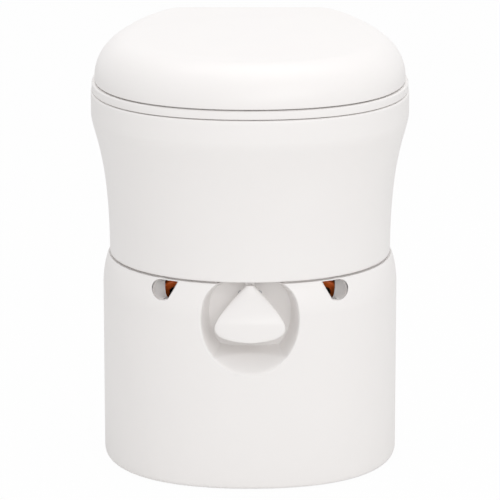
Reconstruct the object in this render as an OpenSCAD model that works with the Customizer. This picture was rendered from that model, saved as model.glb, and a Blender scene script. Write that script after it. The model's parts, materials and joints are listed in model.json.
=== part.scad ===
// Composting toilet, portable and urine separating: base, bucket, canister, housing, seat and lid.
// Millimetres. +Z is up, -Y is the front, and the origin is on the floor under the middle of the box.

/* [Base] */
// Height of the seam between base and housing
base_h = 230; // [222:1:240]
// Width of the base at its straight sides
base_w = 327; // [322:1:332]
// Height of the rounded shoulder under the seam
shoulder_h = 34; // [24:1:40]
// Wall of the base and the housing
wall = 4; // [3.4:0.2:4.4]
// Width of the flange at the top of the base
flange_w = 10; // [8:0.5:11]
// How far the feet stand below the base
foot_h = 2; // [1.5:0.5:3]
// Radius of a foot
foot_r = 15; // [11:1:17]
// Thickness of the gasket in the seam
gasket_t = 1; // [0.8:0.1:1.4]

/* [Finger pocket] */
// Half width of the pocket at the front of the base
pocket_a = 52.6; // [49:0.5:55]
// Depth of the pocket from the front of the base
pocket_d = 42; // [38:1:43]
// Distance of the pocket's widest place below the seam
pocket_down = 40; // [36:1:44]
// Height of the pocket below its widest place
pocket_low = 57.7; // [50:1:62]
// Radius of a finger hole beside the pocket
scoop_r = 10.5; // [9:0.5:11]
// Distance of a finger hole from the middle
scoop_x = 95.5; // [92:0.5:98]

/* [Housing] */
// Width of the housing at its rim
rim_w = 350; // [344:1:356]
// Height of the housing from the gasket to its rim
housing_h = 183; // [175:1:192]
// Width of the housing at the seam
seam_w = 311.4; // [308:0.6:314]

/* [Seat and lid] */
// Gap that the seat bumpers keep under the seat
seat_gap = 1; // [0.8:0.1:1.5]
// Thickness of the seat
seat_t = 9.5; // [8.5:0.5:11]
// Half width of the hole in the seat
hole_a = 105; // [98:1:108]
// Gap that the lid bumpers keep over the seat
lid_gap = 1.5; // [1.2:0.1:2]
// Height of the lid's rounded edge
lid_h = 45; // [38:1:50]
// How far the lid's rounded edge reaches inwards
lid_round = 38; // [30:1:42]
// Height of the lid's dome over its edge
lid_dome = 3; // [1:0.5:6]
// Wall of the lid
lid_wall = 3; // [2.4:0.2:3.4]

/* [Hinges] */
// Radius of a hinge barrel
barrel_r = 7; // [6.4:0.1:7]
// Radius of a hinge pin
pin_r = 3; // [2:0.25:3.5]
// Running clearance of a pin in its barrel
pin_fit = 0.05; // [0.03:0.01:0.08]
// Distance of a hinge's bracket from the middle
hinge_x = 72; // [66:1:76]

/* [Latch] */
// Half width of the latch tongue
tongue_a = 38; // [32:1:40]
// Thickness of the latch tongue
tongue_t = 9; // [7:0.5:10]
// Radius of the latch pin
latch_pin_r = 2; // [1.5:0.25:2.25]

/* [Containers] */
// Wall of the bucket, the canister and the bowl
tub_wall = 2.5; // [2:0.1:3]
// Height of the bucket's rim over the seam
bucket_over = 40; // [25:1:46]
// Distance of the canister's roof below the seam
canister_under = 50; // [46:1:58]
// Radius of the bore of the canister's filling neck
neck_r = 11; // [10.4:0.2:11.6]
// Radius of the bore of the canister's pouring neck
pour_r = 10; // [9:0.5:11]
// Half width of the canister's handle
handle_a = 96; // [90:1:97]
// Height of the handle over the canister
handle_h = 46; // [42:1:47]
// Thickness of the handle's bar
handle_t = 9; // [8:0.5:10]

/* [Hidden] */
$fn = 48;

white = "#f1efee";
orange = "#f26b2a";
grey = "#55565a";
steel = "#b9bcc0";
clear_fit = 0.3;    // gap between pieces that touch lightly
over = 1;           // how far a cutter runs past the face that it cuts
front_steps = 14;   // points on the front quarter of an outline
back_steps = 9;     // points on the back quarter of an outline
flat_steps = 2;     // points on half of the straight back

// ---- heights ----
z_seam = base_h;
z_house = z_seam + gasket_t;
z_rim = z_house + housing_h;
z_seat = z_rim + seat_gap;
z_seat_top = z_seat + seat_t;
z_lid = z_seat_top + lid_gap;
pocket_z = z_seam - pocket_down;
bucket_top = z_seam + bucket_over;
canister_top = z_seam - canister_under;

// ---- outlines ----
// An outline is [half width, front, y of the widest place, half width of the flat back, back,
// and four curve handles: front across, front along, back across, back along].
front_y = -207;     // foremost point of the rim and the lid
back_y = 193;       // flat back of the rim and the lid
front_curve = [0.615, 0.637];
low_curve = [0.58, 0.60];
side_curve = [0.63, 0.64];
back_curve = [0.303, 0.416];
soft_back = [0.42, 0.44];
rim_flat = rim_w / 2 - 82;  // half width of the rim's flat back
rim_o = concat([rim_w / 2, front_y, -26, rim_flat, back_y], front_curve, back_curve);
seam_o = concat([seam_w / 2, front_y + 30, -22, seam_w / 2 - 72.7, back_y - 22], low_curve, soft_back);
side_o = concat([base_w / 2, front_y + 19, -15, base_w / 2 - 76.5, back_y - 13], side_curve, soft_back);
foot_o = side_o + [0, 2, 0, 0, -1, 0, 0, 0, 0];
lid_in = 4.2;               // how far the lid stands in from the rim at its sides
lid_o = concat([rim_w / 2 - lid_in, front_y, -26, rim_flat - 0.4 * lid_in, back_y], front_curve, back_curve);
hole_front = front_y + 57;  // front of the hole in the seat
hole_mid = -20;
hole_flat = 30;
hole_back = 116;
hole_o = [hole_a, hole_front, hole_mid, hole_flat, hole_back, 0.58, 0.60, 0.45, 0.56];

function mix(a, b, t) = a + (b - a) * t;
function bez(a, b, c, d, t) =
    pow(1 - t, 3) * a + 3 * pow(1 - t, 2) * t * b + 3 * (1 - t) * t * t * c + pow(t, 3) * d;
function inset(o, d) = o + [-d, d, 0, -0.35 * d, -d, 0, 0, 0, 0];

// Right half of an outline, from the middle of the front to the middle of the back
function half_plan(o) = let (a = o[0], f = o[1], m = o[2], w = o[3], b = o[4]) concat(
    [for (i = [0:front_steps])
        bez([0, f], [o[5] * a, f], [a, m - o[6] * (m - f)], [a, m], i / front_steps)],
    [for (i = [1:back_steps])
        bez([a, m], [a, m + o[8] * (b - m)], [w + o[7] * (a - w), b], [w, b], i / back_steps)],
    [for (i = [1:flat_steps]) [w * (1 - i / flat_steps), b]]);
function plan(o) = let (h = half_plan(o), n = len(h))
    concat(h, [for (i = [n - 2:-1:1]) [-h[i].x, h[i].y]]);
function ring(o, z) = [for (p = plan(o)) [p.x, p.y, z]];

// ---- lofts ----
function strip(n, k, l) = [for (i = [0:n - 1]) let (j = (i + 1) % n)
    each [[k * n + i, l * n + i, l * n + j], [k * n + i, l * n + j, k * n + j]]];

// Solid through a list of rings, with a flat face on the first and the last
module loft(rings) {
    n = len(rings[0]);
    m = len(rings);
    polyhedron(
        points = [for (r = rings) each r],
        faces = concat([[for (i = [0:n - 1]) i]],
                       [for (k = [0:m - 2]) each strip(n, k, k + 1)],
                       [[for (i = [n - 1:-1:0]) (m - 1) * n + i]]));
}

// Closed band through a list of rings, whose last ring joins the first
module band(rings) {
    n = len(rings[0]);
    m = len(rings);
    polyhedron(points = [for (r = rings) each r],
               faces = [for (k = [0:m - 1]) each strip(n, k, (k + 1) % m)]);
}

module both_sides() {
    children();
    mirror([1, 0, 0]) children();
}

module x_rod(r, x0, x1, y, z) {
    translate([x0, y, z]) rotate([0, 90, 0]) cylinder(r = r, h = x1 - x0);
}

module block(lo, hi) {
    translate(lo) cube(hi - lo);
}

// ---- base ----
edge_r = 4;         // rounding at the foot of the base
floor_z = foot_h + wall;
shoulder_steps = 5;
front_foot = [110, -118];
back_foot = [92, 124];
foot_stem_r = 4;
foot_head_r = 6;
fit = 0.05;         // clearance of a screw or stem in its hole

function side_at(z) = mix(foot_o, side_o, (z - foot_h) / (z_seam - shoulder_h - foot_h));
function shoulder_at(t) = mix(seam_o, side_o, cos(90 * t));
function shoulder_z(t) = z_seam - shoulder_h + shoulder_h * sin(90 * t);

module base_cup() {
    low = z_seam - shoulder_h;
    outer = concat(
        [for (i = [0:3]) let (q = 90 * i / 3)
            ring(inset(foot_o, edge_r * 0.5 * (1 - sin(q))), foot_h + edge_r * (1 - cos(q)))],
        [ring(side_at(low * 0.5), low * 0.5)],
        [for (i = [0:shoulder_steps]) let (t = i / shoulder_steps)
            ring(shoulder_at(t), shoulder_z(t))]);
    inner = concat(
        [ring(inset(seam_o, flange_w), z_seam), ring(inset(seam_o, flange_w), z_seam - wall)],
        [for (i = [shoulder_steps - 1:-1:0]) let (t = i / shoulder_steps)
            ring(inset(shoulder_at(t), wall), shoulder_z(t) - wall * t)],
        [ring(inset(foot_o, wall), floor_z + edge_r), ring(inset(foot_o, wall + edge_r), floor_z)]);
    loft(concat(outer, inner));
}

// Pocket outline in X and Z, shrunk by d at its sides and foot, and grown by g all round
pocket_up = 46;
pocket_n = 2.6;     // squareness of the pocket above its widest place
pocket_steps = 40;
function pocket_p(q, d, g) = let (c = cos(q), s = sin(q), n = s > 0 ? pocket_n : 2)
    [(pocket_a - d + g) * sign(c) * pow(abs(c), 2 / n),
     pocket_z + (s > 0 ? pocket_up + g : pocket_low - 1.4 * d + g) * sign(s) * pow(abs(s), 2 / n)];
function pocket_ring(y, d, g) = [for (i = [0:pocket_steps - 1])
    let (p = pocket_p(360 * i / pocket_steps, d, g)) [p.x, y, p.y]];
lip_y = side_o[1];
pocket_y = lip_y + pocket_d;        // back wall of the pocket
// Its section: how far in front of the back wall, and how much narrower it is there
pocket_corner = [[2, 9], [8, 6]];
pocket_floor_in = 13;
lip_in = 5;         // depth at which the pocket has its named size
lip_flare = [20, 3];    // how far past the front the cut runs, and how much wider
module pocket_form(g) {
    loft([pocket_ring(pocket_y + g, pocket_floor_in, g),
          for (c = pocket_corner) pocket_ring(pocket_y - c[0], c[1], g),
          pocket_ring(lip_y + lip_in, 0, g), pocket_ring(lip_y - lip_flare[0], -lip_flare[1], g)]);
}

// Finger hole: a round mouth whose niche turns towards the middle
scoop_z = z_seam - scoop_r - 1.6;
scoop_y = -146;
scoop_turn = 32;
scoop_wall = 2.5;
scoop_cut = 18.5;   // how far the mouth reaches towards the middle at its top
scoop_len = 60;     // length of the drill that makes a niche
scoop_back = 10;    // how far the niche's wall reaches behind its middle
module scoop(r, depth) {
    translate([scoop_x, scoop_y, scoop_z]) rotate([90, 0, scoop_turn]) cylinder(r = r, h = depth, center = true);
}
module scoop_mouth() {
    scoop(scoop_r, scoop_len);
    translate([scoop_x, scoop_y - 2, scoop_z]) rotate([90, 0, 0]) linear_extrude(30)
        polygon([[0, -scoop_r], [0, scoop_r], [-scoop_cut, scoop_r], [0.4 * scoop_r - scoop_cut * 0.6, -0.85 * scoop_r]]);
}

module foot_places() {
    both_sides() for (p = [front_foot, back_foot]) translate([p.x, p.y, 0]) children();
}

catch_x = 10;       // catch screws, from the middle
catch_z = z_seam - 18;
catch_t = 1.6;
catch_screw_r = 1.6;
module catch_places(y) {
    for (x = [-catch_x, catch_x]) translate([x, y, catch_z]) rotate([-90, 0, 0]) children();
}

module base_shell() {
    color(white) difference() {
        union() {
            base_cup();
            intersection() {
                union() {
                    pocket_form(wall);
                    both_sides() intersection() {
                        scoop(scoop_r + scoop_wall, scoop_len);
                        block([scoop_x - scoop_r - scoop_wall - over, lip_y, 0], [base_w, scoop_y + scoop_back, z_seam]);
                    }
                }
                loft([ring(inset(side_o, wall / 2), floor_z),
                      ring(inset(side_o, wall / 2), z_seam - shoulder_h),
                      ring(inset(seam_o, wall / 2), z_seam)]);
            }
        }
        pocket_form(0);
        both_sides() scoop_mouth();
        foot_places() {
            cylinder(r = foot_stem_r + fit, h = floor_z);
            translate([0, 0, floor_z - wall / 2]) cylinder(r = foot_head_r + fit, h = wall);
        }
        catch_places(pocket_y - over) cylinder(r = catch_screw_r + fit, h = wall + 2 * over);
    }
}

module rubber_feet() {
    color(grey) foot_places() {
        cylinder(r = foot_r, h = foot_h);
        cylinder(r = foot_stem_r, h = floor_z);
        translate([0, 0, floor_z - wall / 2]) cylinder(r = foot_head_r, h = wall / 2);
    }
}

land = 7;           // inset of the faces that meet in the seam
notch = pocket_a - 14;
module base_gasket() {
    a = inset(seam_o, land);
    b = inset(seam_o, flange_w - 0.2);
    color(grey) difference() {
        band([ring(a, z_seam), ring(a, z_house), ring(b, z_house), ring(b, z_seam)]);
        block([-notch, front_y, z_seam - over], [notch, scoop_y, z_house + over]);
    }
}

catch_w = 14;
catch_low = 25;     // distances of the catch below the seam
catch_up = 4;
lip_t = 3;
lip_out = 5;        // reach of the catch's lip
lip_w = 7;
module catch_plate() {
    color(white) difference() {
        union() {
            block([-catch_w, pocket_y - catch_t, z_seam - catch_low], [catch_w, pocket_y, z_seam - catch_up]);
            block([-lip_w, pocket_y - lip_out, z_seam - catch_up - lip_t], [lip_w, pocket_y - catch_t + over, z_seam - catch_up]);
        }
        catch_places(pocket_y - catch_t - over) cylinder(r = catch_screw_r + fit, h = catch_t + 2 * over);
    }
}

// Screw along +Z with its head under the origin
module screw(r, length, head_h) {
    cylinder(r = r, h = length);
    translate([0, 0, -head_h]) cylinder(r = 1.9 * r, h = head_h);
}

module catch_screws() {
    color(steel) catch_places(pocket_y - catch_t) screw(catch_screw_r, catch_t + wall + 2, 1.4);
}

// ---- bucket ----
bucket_a = 122;     // half width of the bucket
bucket_front = -40;
bucket_mid = 20;
bucket_flat = 72;
bucket_back = 140;
bucket_o = [bucket_a, bucket_front, bucket_mid, bucket_flat, bucket_back, 0.75, 0.8, 0.42, 0.46];
foot_in = 6;        // how far the rounding at a container's foot reaches inwards
foot_up = 8;        // and upwards
tub_z = floor_z + clear_fit;
taper = 11;         // how far the bucket narrows to its foot
bucket_lip = 5;
bucket_lip_h = 4;

module solids_bucket() {
    low = inset(bucket_o, taper);
    lip = inset(bucket_o, -bucket_lip);
    color(white) loft([
        ring(inset(low, foot_in), tub_z), ring(inset(low, foot_in / 4), tub_z + foot_up / 4), ring(low, tub_z + foot_up),
        ring(bucket_o, bucket_top - bucket_lip_h), ring(lip, bucket_top - bucket_lip_h), ring(lip, bucket_top),
        ring(inset(bucket_o, tub_wall), bucket_top), ring(inset(low, tub_wall), tub_z + foot_up + tub_wall),
        ring(inset(low, foot_in + tub_wall), tub_z + tub_wall)]);
}

ring_t = 3;         // thickness of the bag ring
ring_skirt = 8;     // how far its skirt hangs below the bucket's rim
ring_in = 1;        // how far its inner edge stands in from the bucket's outline
module bag_ring() {
    out = inset(bucket_o, -bucket_lip - clear_fit - ring_t);
    mid = inset(bucket_o, -bucket_lip - clear_fit);
    color(orange) band([
        ring(out, bucket_top - ring_skirt), ring(out, bucket_top + ring_t),
        ring(inset(bucket_o, ring_in), bucket_top + ring_t), ring(inset(bucket_o, ring_in), bucket_top),
        ring(mid, bucket_top), ring(mid, bucket_top - ring_skirt)]);
}

// ---- canister ----
can_a = 126;        // half width of the canister
can_front = -133;
can_mid = -72;
can_flat = 104;
can_back = -50;
can_o = [can_a, can_front, can_mid, can_flat, can_back, 0.66, 0.66, 0.4, 0.5];
can_round = 5;      // rounding of the canister's edges
neck_y = -70;       // filling neck, under the drain spout
pour_y = -100;      // pouring neck
neck_h = 14;
pour_h = 12;
neck_wall = 2.5;
handle_y = -108;
handle_lean = 28;    // degrees by which the bow leans forward, towards the hand
bow_h = (handle_h - handle_t / 2 * sin(handle_lean)) / cos(handle_lean);
pad_in = 22;        // length of a handle pad, inwards from the handle's side
pad_t = 3;
pad_w = 14;
handle_round = 16;
handle_screw_r = 2;
handle_screw_x = handle_a - 17;
boss_h = 9;

function body_rings(o, z0, z1, r) = concat(
    [for (i = [0:3]) let (q = 30 * i) ring(inset(o, r * (1 - sin(q))), z0 + r * (1 - cos(q)))],
    [for (i = [3:-1:0]) let (q = 30 * i) ring(inset(o, r * (1 - sin(q))), z1 - r * (1 - cos(q)))]);

module handle_places(z) {
    for (x = [-handle_screw_x, handle_screw_x]) translate([x, handle_y, z]) children();
}

module urine_canister() {
    color(white) difference() {
        union() {
            difference() {
                union() {
                    loft(body_rings(can_o, tub_z, canister_top, can_round));
                    translate([0, neck_y, canister_top - 2]) cylinder(r = neck_r + neck_wall, h = neck_h + 2);
                    translate([0, pour_y, canister_top - 2]) cylinder(r = pour_r + neck_wall, h = pour_h + 2);
                }
                loft(body_rings(inset(can_o, tub_wall), tub_z + tub_wall, canister_top - tub_wall, can_round));
            }
            handle_places(canister_top - boss_h) cylinder(r = 2.2 * handle_screw_r, h = boss_h - 1);
        }
        translate([0, neck_y, canister_top - 6]) cylinder(r = neck_r, h = neck_h + 10);
        translate([0, pour_y, canister_top - 6]) cylinder(r = pour_r, h = pour_h + 10);
        handle_places(canister_top - boss_h + 2) cylinder(r = handle_screw_r + fit, h = boss_h);
    }
}

module bow(a, h, r) {
    translate([-a, 0]) square([2 * a, h - r]);
    translate([r - a, 0]) square([2 * (a - r), h]);
    for (x = [r - a, a - r]) translate([x, h - r]) circle(r = r);
}

module canister_handle() {
    color(orange) difference() {
        union() {
            translate([0, handle_y, canister_top]) rotate([handle_lean + 90, 0, 0])
                translate([0, 0, -handle_t / 2]) linear_extrude(handle_t) difference() {
                    translate([0, -handle_t]) bow(handle_a, bow_h + handle_t, handle_round);
                    translate([0, -handle_t - over])
                        bow(handle_a - handle_t, bow_h + over, handle_round - handle_t);
                }
            both_sides() block([handle_a - pad_in, handle_y - pad_w / 2, canister_top],
                               [handle_a - 1, handle_y + pad_w / 2, canister_top + pad_t]);
        }
        block([-handle_a - over, handle_y - pad_w, canister_top - 2 * handle_t],
              [handle_a + over, handle_y + pad_w, canister_top]);
        handle_places(canister_top - over) cylinder(r = handle_screw_r + fit, h = pad_t + 2 * over);
    }
}

module handle_screws() {
    color(steel) handle_places(canister_top + pad_t) mirror([0, 0, 1]) screw(handle_screw_r, pad_t + boss_h - 3, 2);
}

spout_r = 8;
grommet_in = spout_r + clear_fit;
module neck_grommet() {
    top = canister_top + neck_h;
    color(grey) translate([0, neck_y, 0]) rotate_extrude() polygon([
        [grommet_in, top - 8], [neck_r - fit, top - 8], [neck_r - fit, top],
        [neck_r + neck_wall, top], [neck_r + neck_wall, top + 2], [grommet_in, top + 2]]);
}

cap_t = 3;
cap_seal_t = 1.5;
cap_in = pour_r + neck_wall + clear_fit;
cap_out = cap_in + 2.4;
cap_grips = 14;
module pour_cap() {
    low = canister_top + 2;
    roof = canister_top + pour_h + cap_seal_t;
    color(orange) translate([0, pour_y, 0]) difference() {
        translate([0, 0, low]) cylinder(r = cap_out, h = roof + cap_t - low);
        translate([0, 0, low - over]) cylinder(r = cap_in, h = roof - low + over);
        for (i = [0:cap_grips - 1]) rotate([0, 0, 360 * i / cap_grips])
            translate([cap_out + 0.5, 0, low - over]) cylinder(r = 1.2, h = roof + cap_t - low + 2 * over);
    }
}

module cap_seal() {
    color(grey) translate([0, pour_y, canister_top + pour_h + 0.1]) difference() {
        cylinder(r = pour_r + neck_wall, h = cap_seal_t - 0.1);
        translate([0, 0, -over]) cylinder(r = pour_r - 2, h = cap_seal_t + 2 * over);
    }
}

// ---- housing ----
flare_top = z_rim - 24;     // height at which the housing reaches its full width
flare_k = [0.72, 0.12];     // handles of the flare's curve, along its height
foot_round = 11;            // height of the rounding over the seam
house_flange = 13;
rebate = 17.5;              // ledge round the hole, for the rim of the bowl
rebate_d = 3.5;
opening = 8;
deck_a = 30;                // half width of the deck that carries the latch
deck_y = -140;

function flare_s(u) = 3 * (1 - u) * u * u + pow(u, 3);
function flare_t(u) = 3 * pow(1 - u, 2) * u * flare_k[0] + 3 * (1 - u) * u * u * (1 - flare_k[1]) + pow(u, 3);
function flare_o(u) = mix(seam_o, rim_o, flare_s(u));
function flare_z(u) = z_house + (flare_top - z_house) * flare_t(u);

module housing_band() {
    o = inset(hole_o, -opening);
    l = inset(hole_o, -rebate);
    outer = concat(
        [for (i = [0:3]) let (q = 30 * i)
            ring(inset(seam_o, land * (1 - sin(q))), z_house + foot_round * (1 - cos(q)))],
        [for (u = [0.1:0.1:1.01]) ring(flare_o(u), flare_z(u))],
        [ring(rim_o, z_rim - 3), ring(inset(rim_o, 0.6), z_rim - 1), ring(inset(rim_o, 2), z_rim)]);
    ledge = [ring(l, z_rim), ring(l, z_rim - rebate_d), ring(o, z_rim - rebate_d),
             ring(o, z_rim - rebate_d - wall), ring(inset(rim_o, wall + 5), z_rim - rebate_d - wall)];
    inner = concat(
        [ring(inset(rim_o, wall), z_rim - rebate_d - wall - 5)],
        [for (u = [1:-0.2:0.19]) ring(inset(flare_o(u), wall), flare_z(u))],
        [ring(inset(seam_o, wall), z_house + foot_round), ring(inset(seam_o, wall + 2), z_house + wall),
         ring(inset(seam_o, house_flange), z_house + wall), ring(inset(seam_o, house_flange), z_house)]);
    band(concat(outer, ledge, inner));
}

latch_y = -160;             // axis of the latch
latch_z = z_house + 10;
deck_z = z_house + wall;
neck_x = 5;                 // half width of the latch's neck
neck_t = 6;
slot_x = neck_x + 1.5;
latch_screw_r = 2;
latch_screw_x = 20;
latch_screw_y = -157;
hinge_y = back_y + barrel_r;
hinge_z = z_rim + 4.5;
plate_t = 3;
plate_a = 18;               // half width of a hinge bracket's plate
plate_low = z_rim - 27;
hinge_screw_r = 2;
hinge_screw_x = 12;
hinge_screw_z = z_rim - 18;

module latch_screw_places(z) {
    for (x = [-latch_screw_x, latch_screw_x]) translate([x, latch_screw_y, z]) children();
}

module hinge_screw_places(y) {
    both_sides() for (x = [-hinge_screw_x, hinge_screw_x])
        translate([hinge_x + x, y, hinge_screw_z]) rotate([90, 0, 0]) children();
}

module upper_housing() {
    color(white) difference() {
        union() {
            housing_band();
            block([-deck_a, seam_o[1] + land + 4, z_house], [deck_a, deck_y, deck_z]);
        }
        block([-slot_x, latch_y - 7, z_house - over], [slot_x, latch_y + 8, deck_z + over]);
        latch_screw_places(z_house - over) cylinder(r = latch_screw_r + fit, h = wall + 2 * over);
        hinge_screw_places(back_y + over) cylinder(r = hinge_screw_r + fit, h = wall + 3);
    }
}

// ---- separator bowl ----
mouth_a = 84;               // half width of the chute
mouth_front = -24;
mouth_mid = 45;
mouth_flat = 34;
mouth_back = 112;
mouth_o = [mouth_a, mouth_front, mouth_mid, mouth_flat, mouth_back, 0.58, 0.60, 0.48, 0.56];
drain_y = neck_y;
drain_z = z_rim - 60;
bowl_steps = 8;
sill = 34;                  // depth of the sill between bowl and chute
chute_z = z_rim - 64;       // where the sides meet the chute
chute_end = bucket_top + 14;
flange_t = 2.5;

function smooth(t) = let (c = max(0, min(1, t))) c * c * (3 - 2 * c);
function cross_n(a, b) = let (c = cross(a, b)) c / norm(c);

// Height of the apron at a point, t of the way from the hole's edge to the chute's mouth
function apron_z(p, t) = let (
    low = mix(z_rim - sill, chute_z, smooth((p.y - mouth_o[1]) / 60)),
    base = mix(z_rim - 6, low, pow(t, 0.8)),
    d = norm([p.x / 64, (p.y - drain_y) / (p.y < drain_y ? 74 : 40)]))
    mix(drain_z, base, smooth((d - 0.28) / 0.72));
function apron_ring(t) = [for (p = plan(mix(inset(hole_o, 2.5), mouth_o, t))) [p.x, p.y, apron_z(p, t)]];
bowl_rings = concat(
    [ring(hole_o, z_rim - 1.5)],
    [for (i = [0:bowl_steps]) apron_ring(i / bowl_steps)],
    [for (i = [1:3]) let (m = apron_ring(1), e = ring(inset(mouth_o, 5), chute_end))
        [for (j = [0:len(m) - 1]) mix(m[j], e[j], i / 3) - [m[j].x - e[j].x, m[j].y - e[j].y, 0] * 0.25 * sin(60 * i)]]);

// Outer face of the bowl: each point moved by the wall along the surface normal
function bowl_outer(k) = let (r = bowl_rings, n = len(r[0]), m = len(r))
    [for (j = [0:n - 1]) let (
        along = r[min(k + 1, m - 1)][j] - r[max(k - 1, 0)][j],
        round_it = r[k][(j + 1) % n] - r[k][(j + n - 1) % n])
        r[k][j] + tub_wall * cross_n(along, round_it)];

module separator_bowl() {
    top = inset(hole_o, -rebate + clear_fit);
    m = len(bowl_rings);
    color(white) difference() {
        band(concat(
            [for (k = [m - 1:-1:1]) bowl_outer(k)],
            [ring(inset(hole_o, -tub_wall - 0.5), z_rim - flange_t), ring(top, z_rim - flange_t),
             ring(top, z_rim), ring(inset(hole_o, -2), z_rim)],
            bowl_rings));
        translate([0, drain_y, drain_z - 20]) cylinder(r = spout_r + 2 * fit, h = 40);
        translate([0, drain_y, drain_z - 0.7]) cylinder(r = spout_r + 4.2, h = 20);
    }
}

module separator_seal() {
    a = inset(hole_o, -rebate + clear_fit);
    b = inset(hole_o, -opening - 1);
    color(grey) band([ring(a, z_rim - rebate_d), ring(a, z_rim - flange_t),
                      ring(b, z_rim - flange_t), ring(b, z_rim - rebate_d)]);
}

module drain_spout() {
    low = canister_top - 10;
    seat = drain_z - 0.7;
    color(white) translate([0, drain_y, 0]) rotate_extrude() polygon([
        [spout_r - 1.6, low], [spout_r, low], [spout_r, seat], [spout_r + 4, seat],
        [spout_r + 4, seat + 1], [spout_r - 1, seat + 1.4], [spout_r - 1.6, seat]]);
}

// ---- hinges ----
ear_a = 5.7;                // half width of a bracket's ear
arm_gap = 0.3;
seat_arm = 12;              // width of the seat's barrel
lid_arm = 10;               // width of the lid's barrel
arm_h = 8;                  // height of the lid's arm over its edge
pin_in = hinge_x - ear_a - arm_gap - seat_arm - 3.5;
pin_out = hinge_x + ear_a + 2 * arm_gap + lid_arm;
pin_head = 2.4;
pin_head_r = 5;

module hinge_brackets() {
    color(white) both_sides() difference() {
        union() {
            block([hinge_x - plate_a, back_y, plate_low], [hinge_x + plate_a, back_y + plate_t, z_rim - 2]);
            block([hinge_x - ear_a, back_y, z_rim - 12], [hinge_x + ear_a, hinge_y + 2, hinge_z]);
            x_rod(barrel_r, hinge_x - ear_a, hinge_x + ear_a, hinge_y, hinge_z);
        }
        x_rod(pin_r + pin_fit, hinge_x - ear_a - over, hinge_x + ear_a + over, hinge_y, hinge_z);
        for (x = [-hinge_screw_x, hinge_screw_x]) translate([hinge_x + x, back_y + plate_t + over, hinge_screw_z])
            rotate([90, 0, 0]) cylinder(r = hinge_screw_r + fit, h = plate_t + 2 * over);
    }
}

module hinge_pins() {
    color(steel) both_sides() {
        x_rod(pin_r, pin_in, pin_out, hinge_y, hinge_z);
        x_rod(pin_head_r, pin_out, pin_out + pin_head, hinge_y, hinge_z);
    }
}

module hinge_caps() {
    color(grey) both_sides() difference() {
        x_rod(pin_head_r, pin_in, pin_in + 3.2, hinge_y, hinge_z);
        x_rod(pin_r + 0.02, pin_in - over, pin_in + 3.2 + over, hinge_y, hinge_z);
    }
}

module hinge_screws() {
    color(steel) hinge_screw_places(back_y + plate_t) screw(hinge_screw_r, plate_t + wall + 2, 1.4);
}

// ---- latch ----
cheek_in = neck_x + 1.3;
cheek_t = 3;
module latch_bracket() {
    color(steel) difference() {
        union() {
            block([-26, latch_y - 6, deck_z], [26, latch_y + 12, deck_z + 2]);
            both_sides() {
                block([cheek_in, latch_y - 5, deck_z], [cheek_in + cheek_t, latch_y + 5, latch_z]);
                x_rod(5, cheek_in, cheek_in + cheek_t, latch_y, latch_z);
            }
        }
        block([-cheek_in, latch_y - 7, deck_z - over], [cheek_in, latch_y + 8, deck_z + 2 + over]);
        x_rod(latch_pin_r + fit, -20, 20, latch_y, latch_z);
        latch_screw_places(deck_z - over) cylinder(r = latch_screw_r + fit, h = 2 + 2 * over);
    }
}

spring_w = 4.5;
module latch_pin() {
    end = cheek_in + cheek_t + 0.3;
    color(steel) {
        x_rod(latch_pin_r, -end - spring_w - 1.5, end, latch_y, latch_z);
        x_rod(latch_pin_r + 1, end, end + 1.5, latch_y, latch_z);
    }
}

module latch_spring() {
    end = cheek_in + cheek_t + 0.2;
    color(steel) difference() {
        x_rod(latch_pin_r + 1.7, -end - spring_w, -end, latch_y, latch_z);
        x_rod(latch_pin_r + 0.1, -end - spring_w - over, -end + over, latch_y, latch_z);
    }
}

module latch_screws() {
    color(steel) latch_screw_places(deck_z + 2) mirror([0, 0, 1]) screw(latch_screw_r, wall + 3, 1.8);
}

// Half width and height of the tongue: a rounded foot, then flanks that meet at the neck
tongue_top = z_seam - 4.5;
tongue_low = z_seam - 63;
tongue_side = tongue_low + 15;  // height of its widest place
tongue_mid = tongue_low + 38;
tongue_foot = [for (i = [1:6])
    bez([0, tongue_low], [0.58 * tongue_a, tongue_low], [tongue_a, tongue_low + 4], [tongue_a, tongue_side], i / 6)];
tongue_flank = [for (i = [1:6])
    bez([tongue_a, tongue_side], [tongue_a, tongue_side + 10], [0.63 * tongue_a, tongue_mid],
        [neck_x - 1, tongue_top], i / 6)];
tongue_lean = 19;           // how far the foot stands in front of the top
tongue_bow = 1.5;           // how far the edges stand behind the middle
tongue_pts = 24;
function tongue_ring(p, z) = let (y = latch_y - 6 - tongue_lean * smooth((tongue_top - z) / 40), w = p[0],
    t = min(tongue_t, 3 + 0.6 * w + 0.5 * (z - tongue_low)))
    [for (i = [0:tongue_pts - 1]) let (c = cos(360 * i / tongue_pts), s = sin(360 * i / tongue_pts))
        [w * sign(c) * pow(abs(c), 0.9), y + tongue_bow * pow(w * c / tongue_a, 2) + t / 2 * sign(s) * pow(abs(s), 0.8), z]];

nib_y = pocket_y - lip_out - clear_fit;
nib_z = [z_seam - catch_up - lip_t - 6.5, z_seam - catch_up - lip_t - 1.5];
rib_y = latch_y - 14;       // front of the rib that joins tongue and neck
rib_z = [z_seam - 30, z_seam - 18];
module latch_tongue() {
    color(white) difference() {
        union() {
            loft([for (p = concat([[10, tongue_low]], tongue_foot, tongue_flank)) tongue_ring(p, p[1])]);
            block([-neck_x, latch_y - neck_t / 2, rib_z[0]], [neck_x, latch_y + neck_t / 2, latch_z]);
            block([-neck_x, rib_y, rib_z[0]], [neck_x, latch_y, rib_z[1]]);
            block([-neck_x, latch_y, nib_z[0]], [neck_x, nib_y, nib_z[1]]);
            x_rod(5, -neck_x - 1, neck_x + 1, latch_y, latch_z);
        }
        x_rod(latch_pin_r + fit, -neck_x - 2, neck_x + 2, latch_y, latch_z);
    }
}

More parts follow.
